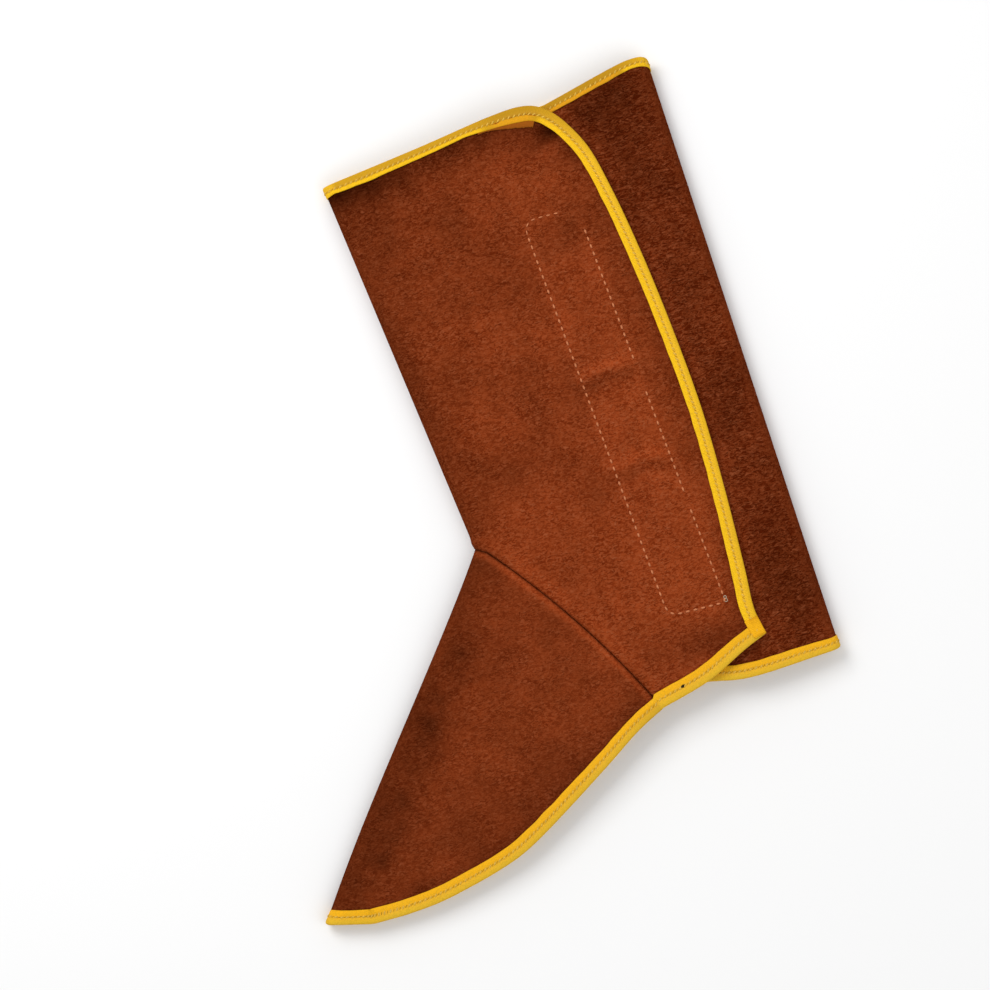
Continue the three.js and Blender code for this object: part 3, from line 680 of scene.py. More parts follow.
def vamp_points(column, row, relief=True):
    """The whole vamp: upper side, fold and lower side."""
    column, row = np.asarray(column, float), np.asarray(row, float)
    near, far = column <= VAMP_COLUMNS, column >= VAMP_FAR
    fold = ~near & ~far
    points = np.empty(column.shape + (3,))
    points[near] = vamp_side(column[near], row[near], False, relief)
    points[far] = vamp_side(VAMP_END - column[far], row[far], True, relief)
    at_fold = np.full(fold.sum(), float(VAMP_COLUMNS)), row[fold]
    upper, lower = vamp_side(*at_fold, False), vamp_side(*at_fold, True)
    _, _, to_toe = vamp_near(*at_fold)
    outer = mix(ankle_fold + vamp_down * ANKLE_GAP, toe_fold, to_toe)
    outer = outer - vamp_inward * (VAMP_BOW * np.sin(math.pi * to_toe ** 2))[:, None]
    outer = outer + (ankle_tip - ankle_fold) * ((1 - to_toe) ** ANKLE_FADE)[:, None]
    turn = (column[fold] - VAMP_COLUMNS) / FOLD_STEPS
    points[fold] = bend(upper, lower, outer - upper[:, :2], turn)
    return points


# Relief of the hide

def noise_field(xy, across, up, seed):
    """Smooth noise over plane points, with its own size across and up the leg."""
    flat = np.reshape(xy, (-1, 2))
    values = [noise.noise((x / across, y / up, seed)) for x, y in flat]
    return np.reshape(values, np.shape(xy)[:-1])


def noises(xy, table):
    """Noise of several sizes, added up."""
    return sum(share * noise_field(xy, *noise_kind) for share, *noise_kind in table)


def box_path():
    """The line of the stitch box: its sides with rounded corners, as close-set points."""
    corners = np.array(STITCH_BOX)
    path = []
    for i, (x, y, radius) in enumerate(corners):
        corner = np.array((x, y))
        to_last = unit(corners[i - 1, :2] - corner)
        to_next = unit(corners[(i + 1) % len(corners), :2] - corner)
        t = np.linspace(0, 1, 12)[:, None]
        start, end = corner + to_last * radius, corner + to_next * radius
        path.append((1 - t) ** 2 * start + 2 * t * (1 - t) * corner + t * t * end)
    path.append(path[0][:1])
    return np.vstack(path)


def stitch_walk(pitch):
    """Stitch places round the box on the flap: points and directions."""
    path = box_path()
    along = lengths(path)
    count = int(along[-1] / pitch)
    at = np.arange(0.5, count) * along[-1] / count
    ahead, behind = between(at + 0.5, along, path), between(at - 0.5, along, path)
    return between(at, along, path), unit(ahead - behind)


STITCH_TREE = points_tree(stitch_walk(1.0)[0])


def strip_bends(xy):
    """Painted light and shade, and relief, of the two bends across the hook strip: bright and raised
    above, dark and sunk below.
    """
    total = np.zeros(xy.shape[:-1])
    x, y = xy[..., 0], xy[..., 1]
    out, into = BEND_FADE
    for left, right, at in BENT_STRIP:
        inside = ease(left - out, left + into, x) * (1 - ease(right - into, right + out, x))
        above = y - at - BEND_WANDER * noise_field(xy, *WANDER_SIZE, at)
        total += inside * (hill(above, *BEND_LIT) + hill(above, *BEND_SHADED))
    return total


def corner_crease(xy):
    """The soft ridge across the flap's round corner, as relief and as a painted highlight on the ridge
    with painted shade at its foot.
    """
    start, end = np.array(CORNER_CREASE)
    length, way = np.linalg.norm(end - start), unit(end - start)
    along, away = (xy - start) @ way, (xy - start) @ left_of(way)
    out, into = RIDGE_FADE
    ends = ease(-out, into, along) * (1 - ease(length - into, length + out, along))
    return ends * (hill(away, *RIDGE) + hill(away, *RIDGE_FOOT))


def clouds(xy, table):
    """The clouds of a table, added up."""
    total = np.zeros(xy.shape[:-1])
    for x, y, across, up, depth in table:
        total += depth * np.exp(-((xy[..., 0] - x) / across) ** 2 - ((xy[..., 1] - y) / up) ** 2)
    return total


def upper_relief(xy):
    """Relief of the flap: waves, pull of its stitches, bends, dent and pressed hems."""
    relief = noises(xy, WAVES) + hill(distances(STITCH_TREE, xy), *STITCH_PULL)
    relief += BEND_RELIEF * strip_bends(xy) + RIDGE_RELIEF * corner_crease(xy)
    relief += DENT_RELIEF * clouds(xy, CORNER_DENT)
    return relief + hill(distances(NEAR_HEM_TREE, xy), *LIP_PRESS)


def vamp_relief(xy):
    """Relief of the vamp: slow waves, its puffed edge along the seam and pressed hems."""
    puffed = hill(distances(SEAM_TREE, xy), *SEAM_PUFF)
    return noises(xy, WAVES) + puffed + hill(distances(NEAR_HEM_TREE, xy), *LIP_PRESS)


# Tone of the hide, 1 where it is plain

FLAP_RIM_TREE = hem_tree(rim)


def to_line(xy, start, way):
    """Distance of points from a straight line."""
    return np.abs(np.sum((xy - np.asarray(start)) * left_of(way), axis=-1))


def painted_crease_shade(xy, beside):
    """Painted shade in the crease of the seam, with a band of painted light beside it."""
    away = distances(CREASE_TREE, xy)
    return hill(away, *beside) - CREASE_PAINTED_SHADE * np.exp(-(away / CREASE_WIDTH) ** 4)


def up_the_leg(y, change, start, end):
    """A change of tone that comes in between two heights."""
    return change * ease(start, end, y)


def in_box(xy):
    """1 within the stitch box's two long rows, 0 outside."""
    x, y = xy[..., 0], xy[..., 1]
    left, right = [np.interp(-y, (-a[1], -b[1]), (a[0], b[0])) for a, b in BOX_SIDES]
    across = ease(left - BOX_EDGE, left + BOX_EDGE, x)
    across = across * (1 - ease(right - BOX_EDGE, right + BOX_EDGE, x))
    return across * ease(*BOX_TOP, y) * (1 - ease(*BOX_FOOT, y))


def flap_tone(xy):
    """Tone of the flap: painted shade at the shin fold and along the rim and top hem, light round the
    stitch box, painted light and shade at the strip's bends, the corner's ridge and dent and the seam's
    crease.
    """
    x, y = xy[..., 0], xy[..., 1]
    tone = FLAP_TONE + up_the_leg(y, *FOOT_LIGHT) + noises(xy, DYE) + clouds(xy, FLAP_CLOUDS)
    tone += hill(to_line(xy, ANKLE, shin_down), *SHIN_FOLD_PAINTED_SHADE)
    # painted shade in a band along the flap's rim tape, deeper towards the top
    change, *where = RIM_PAINTED_SHADE
    tone += hill(distances(FLAP_RIM_TREE, xy), change + up_the_leg(y, *TOP_PAINTED_SHADE), *where)
    off_strip = x - STRIP_MIDDLE[0] - STRIP_LEAN * (y - STRIP_MIDDLE[1])
    tone += hill(off_strip, *STRIP_SHADE) * ease(*STRIP_TOP, y)
    tone += BOX_TONE * in_box(xy) + hill(distances(STITCH_TREE, xy), *STITCH_SHADE)
    # painted light and shade on the strip's bends and the corner's ridge, painted shade in the corner's
    # dent
    tone += BEND_PAINTED_LIGHT_AND_SHADE * strip_bends(xy) + RIDGE_PAINTED_LIGHT_AND_SHADE * corner_crease(xy)
    tone += DENT_PAINTED_SHADE * clouds(xy, CORNER_DENT) + painted_crease_shade(xy, FLAP_CREASE_PAINTED_LIGHT)
    return np.maximum(tone, DARKEST)


def vamp_tone(xy):
    """Tone of the vamp: painted shade along its fold and beside its hem tape, darker towards the toe,
    painted shade in the seam's crease with a painted highlight along the seam beside it.
    """
    y, to_fold = xy[..., 1], to_line(xy, ANKLE, vamp_down)
    tone = VAMP_TONE + up_the_leg(y, *TOE_DARK) + noises(xy, DYE) + clouds(xy, VAMP_CLOUDS)
    # painted shade along the fold and beside the hem tape's lip
    tone += hill(to_fold, *VAMP_FOLD_PAINTED_SHADE) + hill(distances(NEAR_HEM_TREE, xy), *HEM_PAINTED_SHADE)
    change, *where = STAIN
    tone += hill(to_fold, change + noises(xy, STAIN_NOISE), *where) * ease(*STAIN_TOP, y)
    return np.maximum(tone + painted_crease_shade(xy, VAMP_CREASE_PAINTED_HIGHLIGHT), DARKEST)


def underlap_tone(xy):
    """Tone of the under-lap: darker and more clouded than the flap, with painted light beside the
    flap's rim that lifts the shadow its edge casts.
    """
    tone = UNDERLAP_TONE + UNDERLAP_DYE * noises(xy, DYE) + noises(xy, UNDERLAP_NOISE)
    painted_light_by_rim = hill(distances(FLAP_RIM_TREE, xy), *UNDER_RIM_PAINTED_LIGHT)
    return tone + clouds(xy, UNDERLAP_CLOUDS) + painted_light_by_rim


def shaft_tone(column, xy):
    """Tone of the leg wrap by its layers."""
    lower = LOWER_TONE + noises(xy, DYE)
    tone = np.where(column > LOWER_END + FOLD_STEPS / 2, underlap_tone(xy), lower)
    return np.where(column < FLAP_COLUMNS + FOLD_STEPS / 2, flap_tone(xy), tone)


# Mesh pieces

def place(points):
    """Leg-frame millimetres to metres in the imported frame."""
    return np.asarray(points) * MM + LEG_ZERO


def link(name, mesh, material):
    """A new piece that rides on the one body and has its material."""
    piece = bpy.data.objects.new(name, mesh)
    bpy.context.scene.collection.objects.link(piece)
    piece.data.materials.append(material)
    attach(piece, "root")
    return piece


def laid_grid(name, points, uv, tone, material, flip=False):
    """A flat grid whose points are laid in place; points, uv and tone follow its cells."""
    across, up = points.shape[0] - 1, points.shape[1] - 1
    bm = bmesh.new()
    layer = bm.loops.layers.uv.new("UVMap")
    tone_layer = bm.verts.layers.float.new("tone")
    bmesh.ops.create_grid(bm, x_segments=across, y_segments=up, size=1)
    cell = {}
    for v in bm.verts:
        i, j = round((v.co.x + 1) / 2 * across), round((v.co.y + 1) / 2 * up)
        cell[v] = i, j
        v.co = points[i, j]
        v[tone_layer] = tone[i, j]
    for face in bm.faces:
        face.smooth = True
        for loop in face.loops:
            loop[layer].uv = uv[cell[loop.vert]]
    if flip:
        bmesh.ops.reverse_faces(bm, faces=bm.faces)
    mesh = bpy.data.meshes.new(name)
    bm.to_mesh(mesh)
    bm.free()
    return link(name, mesh, material)


def thicken(piece, thickness):
    """Gives a sheet its thickness in metres, half to each side."""
    solid = piece.modifiers.new("Thickness", "SOLIDIFY")
    solid.thickness = thickness
    solid.offset = 0
    solid.use_even_offset = False
    return piece


def spaced(stops):
    """Grid lines from a table of stops: start of a stretch, and lines in it."""
    lines = [np.linspace(a, b, n, endpoint=False) for (a, n), (b, _) in zip(stops, stops[1:])]
    return np.concatenate(lines + [[stops[-1][0]]])


SHAFT_LINES = (
    (0, 5), (1, 75), (FLAP_COLUMNS, 14), (SHIN_END, 44), (LOWER_END, 14), (CALF_END, 44),
    (SHAFT_COLUMNS, 0),
)
SHAFT_ROWS = ((0, 15), (1, 3), (1.1, 4), (1.4, 104), (ROWS - 1, 5), (ROWS, 0))
VAMP_LINES = ((0, 5), (1, 46), (VAMP_COLUMNS, 14), (VAMP_FAR, 34), (VAMP_END - 1, 5), (VAMP_END, 0))
VAMP_LINE_ROWS = ((0, 5), (1, 70), (VAMP_ROWS - 0.6, 8), (VAMP_ROWS - 0.3, 10), (VAMP_ROWS - 0.1, 6),
                  (VAMP_ROWS, 0))


def grid_of(lay, lines, rows):
    """Columns, leg-frame points and grid coordinates of a leather piece."""
    columns, rows = np.meshgrid(spaced(lines), spaced(rows), indexing="ij")
    uv = np.stack([columns / columns.max(), rows / rows.max()], axis=-1)
    return columns, lay(columns.ravel(), rows.ravel()).reshape(columns.shape + (3,)), uv


# Binding tape

# Half of the tape's section: share of its width inside the hem, rise over the leather, bulge past it
TAPE_SECTION = (
    (1.00, 1.16, 0.0),
    (0.96, 1.36, 0.0),
    (0.86, 1.46, 0.0),
    (0.70, 1.42, 0.0),
    (0.58, 1.34, 0.0),
    (0.50, 1.27, 0.0),
    (0.42, 1.34, 0.0),
    (0.28, 1.44, 0.0),
    (0.14, 1.46, 0.0),
    (0.04, 1.36, 0.08),
    (0.00, 1.08, 0.36),
    (0.00, 0.60, 0.55),
    (0.00, 0.00, 0.60),
)

# Stitches of the tape: share of its width, rise there, slant in degrees, rises and size of holes
STITCH_SHARE = 0.5
STITCH_RISE = 1.27
STITCH_SLANT = 38
THREAD_RISE, HOLE_RISE = 0.40, 0.34
HOLE_LENGTH, HOLE_WIDTH = 2.2, 0.6


def full_section():
    """The whole section, from the upper lip round the hem to the lower lip."""
    half = np.array(TAPE_SECTION)
    other = half[-2::-1] * np.array((1, -1, 1))
    return np.vstack([half, other])


def smoothed(points, times):
    """A line of points with its small kinks taken out."""
    points = points.copy()
    for _ in range(times):
        points[1:-1] = (points[:-2] + 2 * points[1:-1] + points[2:]) / 4
    return points


def line_noise(along, size, seed):
    """Smooth noise along a line."""
    return np.array([noise.noise((d / size, seed, 0.0)) for d in along])


def table_at(table, at):
    """Values between the rows of a two-column table."""
    places, values = np.array(table, float).T
    return np.interp(at, places, values)


class Stretch:
    """A stretch of hem: hem points, points inside them, and the tape's width, tone and lift there."""

    def __init__(self, hem, ring, at, widths, tones=((0, 1.0),), lifts=((0, 0.0),)):
        self.hem, self.ring = hem, ring
        self.values = np.stack([table_at(table, at) for table in (widths, tones, lifts)], axis=1)


class TapeRun:
    """Even stations along a hem, joined from stretches."""

    STEP = 1.5

    def __init__(self, stretches):
        hem = np.vstack([s.hem for s in stretches])
        rest = np.hstack([np.vstack([s.ring for s in stretches]),
                          np.vstack([s.values for s in stretches])])
        keep = np.concatenate([[True], np.linalg.norm(np.diff(hem, axis=0), axis=1) > 1e-3])
        hem, rest = hem[keep], rest[keep]
        along = lengths(hem)
        self.length = along[-1]
        self.along = np.linspace(0, self.length, int(self.length / self.STEP))
        self.hem = smoothed(between(self.along, along, hem), 2)
        rest = between(self.along, along, rest)
        self.ring = smoothed(rest[:, :3], 6)
        self.width, self.tone, self.lift = rest[:, 3], rest[:, 4], rest[:, 5]
        self.inward = unit(self.ring - self.hem)
        ahead = unit(np.gradient(self.hem, axis=0))
        self.normal = unit(np.cross(ahead, -self.inward))
        self.ahead = np.cross(-self.inward, self.normal)

    def surface(self, distance, inset, rise, bulge=0.0):
        """Points over the leather at distances along the hem and insets from it."""
        hem, ring, normal, inward = [between(distance, self.along, values) for values in
                                     (self.hem, self.ring, self.normal, self.inward)]
        share, rise, bulge = [np.asarray(value, float)[..., None] for value in
                              (inset / HEM_RING, rise, bulge)]
        return hem * (1 - share) + ring * share + normal * rise - inward * bulge


def line_stretch(line, start, end, height, *tables):
    """A stretch of hem read from an outline; its tables go by distance along that line."""
    at = np.linspace(start, end, max(8, int(abs(end - start) / 2)))
    hem, ring = line.at(at, EDGE_INSET), line.at(at, RING_INSET)
    return Stretch(raised(hem, height(hem)), raised(ring, height(ring)), at, *tables)


def shaft_stretch(start, end, row, ring_row, count, *tables):
    """A stretch of the shaft's hem between two of its columns; its tables go from 0 to 1."""
    columns = np.linspace(start, end, count)
    hem = shaft_points(columns, np.full(count, float(row)))
    ring = shaft_points(columns, np.full(count, float(ring_row)))
    return Stretch(hem, ring, np.linspace(0, 1, count), *tables)


def vamp_stretch(columns, rows, *tables):
    """A stretch of the vamp's hem, without its relief; its tables go from 0 to 1."""
    inside = np.clip(columns, 1, VAMP_END - 1), np.maximum(rows, 1)
    share = np.linspace(0, 1, len(rows))
    hem, ring = vamp_points(columns, rows, False), vamp_points(*inside, False)
    return Stretch(hem, ring, share, *tables)


# Tape widths and tones: place, value
RIM_WIDTHS = ((0, 6.6), (25, 7.5), (46, 7.3), (68, 6.9), (150, 6.7), (280, 6.8), (300, 7.1), (343, 7.8),
              (352, 7.8), (364, 6.7), (385, 4.5), (406, 5.0), (427, 5.4), (449, 5.8), (464, 5.2))
RIM_TONES = ((0, 1.0), (290, 1.02), (320, 0.80), (343, 0.60), (364, 0.60), (378, 0.70), (464, 0.73))
UNDERLAP_WIDTHS = ((0, 5.0), (0.8, 5.0), (1, 4.4))
UNDERLAP_TONES = ((0, 0.56), (0.85, 0.60), (1, 0.8))
CALF_WIDTHS = ((0, 4.4), (1, 7.2))
SHIN_WIDTHS = ((0, 7.2), (1, 4.6))
BACK_WIDTHS = ((0, 7.2),)
TOE_WIDTHS = ((0, 8.0), (0.3, 8.0), (1, 7.2))
HEM_WIDTHS = ((0, 7.9), (40, 8.6), (74, 8.8))
VAMP_WIDTHS = ((0, 7.2), (0.1, 7.3), (0.4, 8.0), (1, 8.0))
VAMP_TONES = ((0, 0.80), (0.1, 0.92), (1, 0.97))
JOINT_LIFT = ((0, 0.55), (0.14, 0.1), (0.2, 0.0))
HEEL_WIDTHS = ((0, 6.4), (0.15, 7.4), (1, 7.8))
EDGE_TONES = ((0, 0.96), (1, 0.96))
CAP_WIDTHS = ((0, 6.6), (12, 7.3))
# painted shade: the folded cap darker and more orange towards its upper end
CAP_TONES = ((0, 0.9), (4, 1.0), (9, 0.95), (12, 0.68))
CAP_LIFTS = ((0, 0.5), (12, 0.35))
CAP_START, CAP_END = 11.5, 0.3
RIM_END = RING_INSET - 2.0

# Unevenness of the tape: its lip, its puckers, and how far a lifted fold bulges
RAGGED, PUCKERS, LIFT_BULGE = 0.3, 0.10, 0.4

# Stations on each stretch: folds, under-lap, far layer, vamp, toe
FOLD_CUTS, UNDERLAP_CUTS, BACK_CUTS, VAMP_CUTS, TOE_CUTS = 30, 60, 90, 120, 90


def top_run():
    """The top binding: under-lap, calf fold, lower layer, shin fold, flap rim."""
    hem = ROWS, ROWS - 1
    return TapeRun([
        shaft_stretch(SHAFT_COLUMNS, CALF_END, *hem, UNDERLAP_CUTS, UNDERLAP_WIDTHS, UNDERLAP_TONES),
        shaft_stretch(CALF_END, LOWER_END, *hem, FOLD_CUTS, CALF_WIDTHS, EDGE_TONES),
        shaft_stretch(LOWER_END, SHIN_END, *hem, BACK_CUTS, BACK_WIDTHS),
        shaft_stretch(SHIN_END, FLAP_COLUMNS, *hem, FOLD_CUTS, SHIN_WIDTHS, EDGE_TONES),
        line_stretch(rim, rim.length, RIM_END, flap_z, RIM_WIDTHS, RIM_TONES),
    ])


def bottom_run():
    """The bottom binding: flap, vamp, toe, far side of the vamp, lower layer, heel, under-lap."""
    rows = np.linspace(VAMP_ROWS, 0, VAMP_CUTS)
    edge = np.zeros(VAMP_CUTS)
    toe = np.linspace(0, VAMP_END, TOE_CUTS)
    hem = 0, 1
    return TapeRun([
        line_stretch(flap_hem, 0, flap_hem.length, flap_z, HEM_WIDTHS, EDGE_TONES),
        vamp_stretch(edge, rows, VAMP_WIDTHS, VAMP_TONES, JOINT_LIFT),
        vamp_stretch(toe, 0 * toe, TOE_WIDTHS, EDGE_TONES),
        vamp_stretch(edge + VAMP_END, rows[::-1], BACK_WIDTHS),
        line_stretch(lower_hem, 0, lower_hem.length, lower_z, BACK_WIDTHS),
        shaft_stretch(LOWER_END, CALF_END, *hem, FOLD_CUTS, HEEL_WIDTHS[:1], EDGE_TONES),
        shaft_stretch(CALF_END, SHAFT_COLUMNS, *hem, UNDERLAP_CUTS, HEEL_WIDTHS, EDGE_TONES),
    ])


def cap_run():
    """The lower tape's end, folded over the end of the flap's edge tape."""
    tables = CAP_WIDTHS, CAP_TONES, CAP_LIFTS
    return TapeRun([line_stretch(rim, CAP_START, CAP_END, flap_z, *tables)])


def tape_piece(name, run, thickness, material):
    """The folded tape along a run."""
    share, height, out = full_section().T
    ragged = RAGGED * line_noise(run.along, 9, 5.2)
    puckers = PUCKERS * line_noise(run.along, 4, 9.7)
    lift = run.lift[:, None]
    inset = share * (run.width + ragged)[:, None]
    rise = height * (1 + puckers)[:, None] + np.sign(height) * lift
    bulge = out + np.sign(out) * LIFT_BULGE * lift
    distance = np.broadcast_to(run.along[:, None], inset.shape)
    points = place(run.surface(distance, inset, rise, bulge))
    round_it = np.broadcast_to(np.linspace(0, 1, len(share)), inset.shape)
    uv = np.stack([distance * MM, round_it], axis=-1)
    tone = np.broadcast_to(run.tone[:, None], inset.shape)
    return thicken(laid_grid(name, points, uv, tone, material), thickness)


def flap_surface(xy, rise):
    """Points over the flap's outer face."""
    return raised(xy, flap_z(xy) + upper_relief(xy) + LEATHER / 2 + rise)


def tail_piece(name, thickness, material):
    """The stub of tape that shows under the flap's round corner, with its torn lower edge; its dark
    colour is painted shade.
    """
    at = np.linspace(TAIL_START, TAIL_END, TAIL_CUTS[0])
    down = np.linspace(0, 1, TAIL_CUTS[1])
    wide = TAIL_WIDTH * ease(TAIL_START, TAIL_START - TAIL_TAPER, at)
    wide = wide + TAIL_TORN * line_noise(at, 1.6, 2.0)
    inset = TAIL_TUCK + (np.maximum(wide, TAIL_LEAST)[:, None] + TAIL_OVERLAP) * down[None, :]
    xy = rim.at(np.broadcast_to(at[:, None], inset.shape), inset)
    rise = TAIL_RISE + TAIL_ROOT_RISE * (1 - down[None, :]) * np.ones_like(inset)
    uv = np.stack([np.broadcast_to(at[:, None], inset.shape) * MM, 0.3 + 0 * inset], axis=-1)
    # painted shade: the stub darkened towards its torn lower edge, under the flap's corner
    tone = 1.0 + 0.1 * ease(TAIL_START, TAIL_END, at)[:, None] - 0.3 * down[None, :]
    points = place(flap_surface(xy, rise))
    piece = laid_grid(name, points, uv, tone, material, flip=True)
    return thicken(piece, thickness)


def stitch_mesh(name, stitches):
    """Short threads on a surface, each with a middle, direction, normal, length and thickness."""
    bead = bmesh.new()
    bmesh.ops.create_uvsphere(bead, u_segments=6, v_segments=4, radius=0.5 * MM)
    for face in bead.faces:
        face.smooth = True
    one = bpy.data.meshes.new("stitch")
    bead.to_mesh(one)
    bead.free()
    bm = bmesh.new()
    for middle, ahead, normal, length, thickness in stitches:
        side = np.cross(normal, ahead)
        turn = Matrix((ahead, side, normal)).transposed().to_4x4()
        matrix = Matrix.Translation(place(middle)) @ turn
        matrix = matrix @ Matrix.Diagonal((length, thickness, thickness, 1))
        one.transform(matrix)
        bm.from_mesh(one)
        one.transform(matrix.inverted())
    mesh = bpy.data.meshes.new(name)
    bm.to_mesh(mesh)
    bm.free()
    bpy.data.meshes.remove(one)
    return mesh


def sew(name, stitches, material):
    """A new piece made of short threads."""
    return link(name, stitch_mesh(name, stitches), material)


# Shaders

class Value:
    """A shader value: arithmetic on it adds Math nodes to its material."""

    def __init__(self, shader, socket):
        self.shader, self.socket = shader, socket

    def math(self, operation, *values):
        inputs = dict(enumerate(values))
        return self.shader.add("ShaderNodeMath", {"operation": operation}, inputs)

    def __add__(self, other):
        return self.math("ADD", self, other)

    def __sub__(self, other):
        return self.math("SUBTRACT", self, other)

    def __rsub__(self, other):
        return self.math("SUBTRACT", other, self)

    def __mul__(self, other):
        return self.math("MULTIPLY", self, other)

    def __pow__(self, other):
        return self.math("POWER", self, other)

    def __rpow__(self, other):
        return self.math("POWER", other, self)

    __radd__ = __add__
    __rmul__ = __mul__


class Shader:
    """A material's nodes, all added through one method."""

    def __init__(self, name):
        self.material = bpy.data.materials.new(name)
        self.material.use_nodes = True
        self.tree = self.material.node_tree
        self.surface = self.tree.nodes["Principled BSDF"]

    def add(self, kind, settings=None, inputs=None, output=0):
        """Adds a node: its settings first, then the values or links of its sockets."""
        node = self.tree.nodes.new(kind)
        for key, value in (settings or {}).items():
            setattr(node, key, value)
        for key, value in (inputs or {}).items():
            self.feed(node.inputs[key], value)
        return Value(self, node.outputs[output])

    def feed(self, socket, value):
        if isinstance(value, Value):
            self.tree.links.new(value.socket, socket)
        elif hasattr(value, "__len__") and len(value) == 3 and socket.type == "RGBA":
            socket.default_value = (*value, 1)
        else:
            socket.default_value = value

    def coordinates(self, output="Object", scale=(1, 1, 1), turn=0.0):
        """Object or UV coordinates, stretched and turned."""
        where = self.add("ShaderNodeTexCoord", output=output)
        inputs = {"Vector": where, "Scale": scale, "Rotation": (0, 0, turn)}
        return self.add("ShaderNodeMapping", None, inputs)

    def noise(self, where, scale, detail=2.0, roughness=0.5, distortion=0.0):
        inputs = {"Vector": where, "Scale": scale, "Detail": detail, "Roughness": roughness,
                  "Distortion": distortion}
        return self.add("ShaderNodeTexNoise", None, inputs)

    def ramp(self, value, low, high):
        """0 below low, 1 above high, smooth between."""
        settings = {"interpolation_type": "SMOOTHSTEP"}
        return self.add("ShaderNodeMapRange", settings, {0: value, 1: low, 2: high, 3: 0, 4: 1})

    def blend(self, factor, a, b, blend_type="MIX"):
        settings = {"data_type": "RGBA", "blend_type": blend_type}
        return self.add("ShaderNodeMix", settings, {0: factor, 6: a, 7: b}, output=2)

    def split(self, vector, axis):
        return self.add("ShaderNodeSeparateXYZ", None, {0: vector}, output=axis)

    def bump(self, height, strength, distance, normal=None):
        inputs = {"Height": height, "Strength": strength, "Distance": distance}
        if normal:
            inputs["Normal"] = normal
        return self.add("ShaderNodeBump", None, inputs)

    def finish(self, **inputs):
        """Feeds the surface's sockets, whose names have underscores for spaces here."""
        for key, value in inputs.items():
            self.feed(self.surface.inputs[key.replace("_", " ")], value)
        return self.material


def darker(colour, share):
    """A colour at a share of its light."""
    return tuple(c * share for c in colour)


# Scales of the hide's noise: curls of the nap, the under-lap's wavier curls, fuzz, patches, ruffles
CURLS, WAVY_CURLS, FUZZ, PATCHES, RUFFLES = 800, 740, 2000, 170, 90
CURL_SHAPE, WAVY_SHAPE, NAP_TURN = (0.55, 1.0, 1.0), (0.42, 1.0, 1.0), 0.3

# The nap: share of curls and fuzz, levels of its dark hollows and light tips, and how strong they are;
# the hollows are the grain's own dark with painted shade, the tips a painted highlight
CURL_SHARE, FUZZ_SHARE = 0.75, 0.25
NAP_HOLLOWS, NAP_TIPS = (0.51, 0.42), (0.52, 0.67)
HOLLOWS_SHARE, TIPS_SHARE = 1.3, 0.8
PATCH_LOW, PATCH_RANGE = 0.82, 0.36
RUFFLE_LOW, RUFFLE_RANGE, RUFFLE_LEVELS = 0.5, 0.25, (0.35, 0.65)
PATCH_DEPTH, NAP_DEPTH = 0.0015, 0.0021

# Depth of the nap on the leg wrap, on the vamp, and what the under-lap adds to it
SHAFT_NAP, VAMP_NAP, UNDERLAP_NAP = 0.88, 0.74, 0.26


def suede(name, colours, depth, under=None):
    """Split cowhide: clouded tone with its painted light and shade, curled nap with painted shade in
    its hollows and a painted highlight on its tips; the under-lap starts where u is under.
    """
    s = Shader(name)
    tone = s.add("ShaderNodeAttribute", {"attribute_name": "tone"}, output="Fac")
    where = s.coordinates()
    curl = s.noise(s.coordinates(scale=CURL_SHAPE, turn=NAP_TURN), CURLS, distortion=1.1)
    fuzz = s.noise(where, FUZZ, roughness=0.6)
    patch = s.noise(where, PATCHES, detail=3.0, roughness=0.6)
    ruffles = s.noise(where, RUFFLES, roughness=0.6)
    ruffled = (s.ramp(ruffles, *RUFFLE_LEVELS) * RUFFLE_RANGE + RUFFLE_LOW) * depth
    if under:
        is_under = s.ramp(s.split(s.coordinates("UV"), 0), under - 0.02, under)
        wavy = s.noise(s.coordinates(scale=WAVY_SHAPE, turn=NAP_TURN), WAVY_CURLS, distortion=1.4)
        curl = curl + (wavy - curl) * is_under
        ruffled = ruffled + is_under * UNDERLAP_NAP
    nap = curl * CURL_SHARE + fuzz * FUZZ_SHARE
    level = tone * (PATCH_LOW + patch * PATCH_RANGE)
    grey = s.add("ShaderNodeCombineColor", None, {0: level, 1: level, 2: level})
    base = s.blend(1, colours.hide, grey, "MULTIPLY")
    # the grain's dark with painted shade, between the curls of the nap
    hollows = s.ramp(nap, *NAP_HOLLOWS) * ruffled * HOLLOWS_SHARE
    base = s.blend(hollows, base, colours.hide_grain_and_shade, "MULTIPLY")
    # painted highlight on the raised tips of the nap, stronger where the tone is lighter
    tips = s.ramp(nap, *NAP_TIPS) * ruffled * tone * TIPS_SHARE
    base = s.blend(tips, base, colours.hide_nap_highlight)
    normal = s.bump(patch, 0.3, PATCH_DEPTH)
    normal = s.bump((nap - 0.5) * ruffled, 1.0, NAP_DEPTH, normal)
    return s.finish(Base_Color=base, Roughness=1.0, Normal=normal, Specular_IOR_Level=0.0)


# Bands across the tape, from its hem at 0 to its lip at 1
OUTER_FADES, MIDDLE_STARTS, MIDDLE_ENDS = (0.30, 0.62), (0.34, 0.50), (0.60, 0.74)
LIP_SPARED, LIP_ORANGE = (0.62, 0.80), (0.52, 0.78)

# Tones between which the lip begins to be spared, and between which it begins to turn orange
SPARED_ABOVE, ORANGE_BELOW = (0.64, 0.70), (0.66, 0.58)

# The tape's noise and weave: scale of clouds and fibres, and from thread to thread in metres
TAPE_CLOUDS, TAPE_FIBRES, THREADS_APART = 70, 1300, 0.0009
ORANGE_TINT = (0.9, 0.66, 1.0)


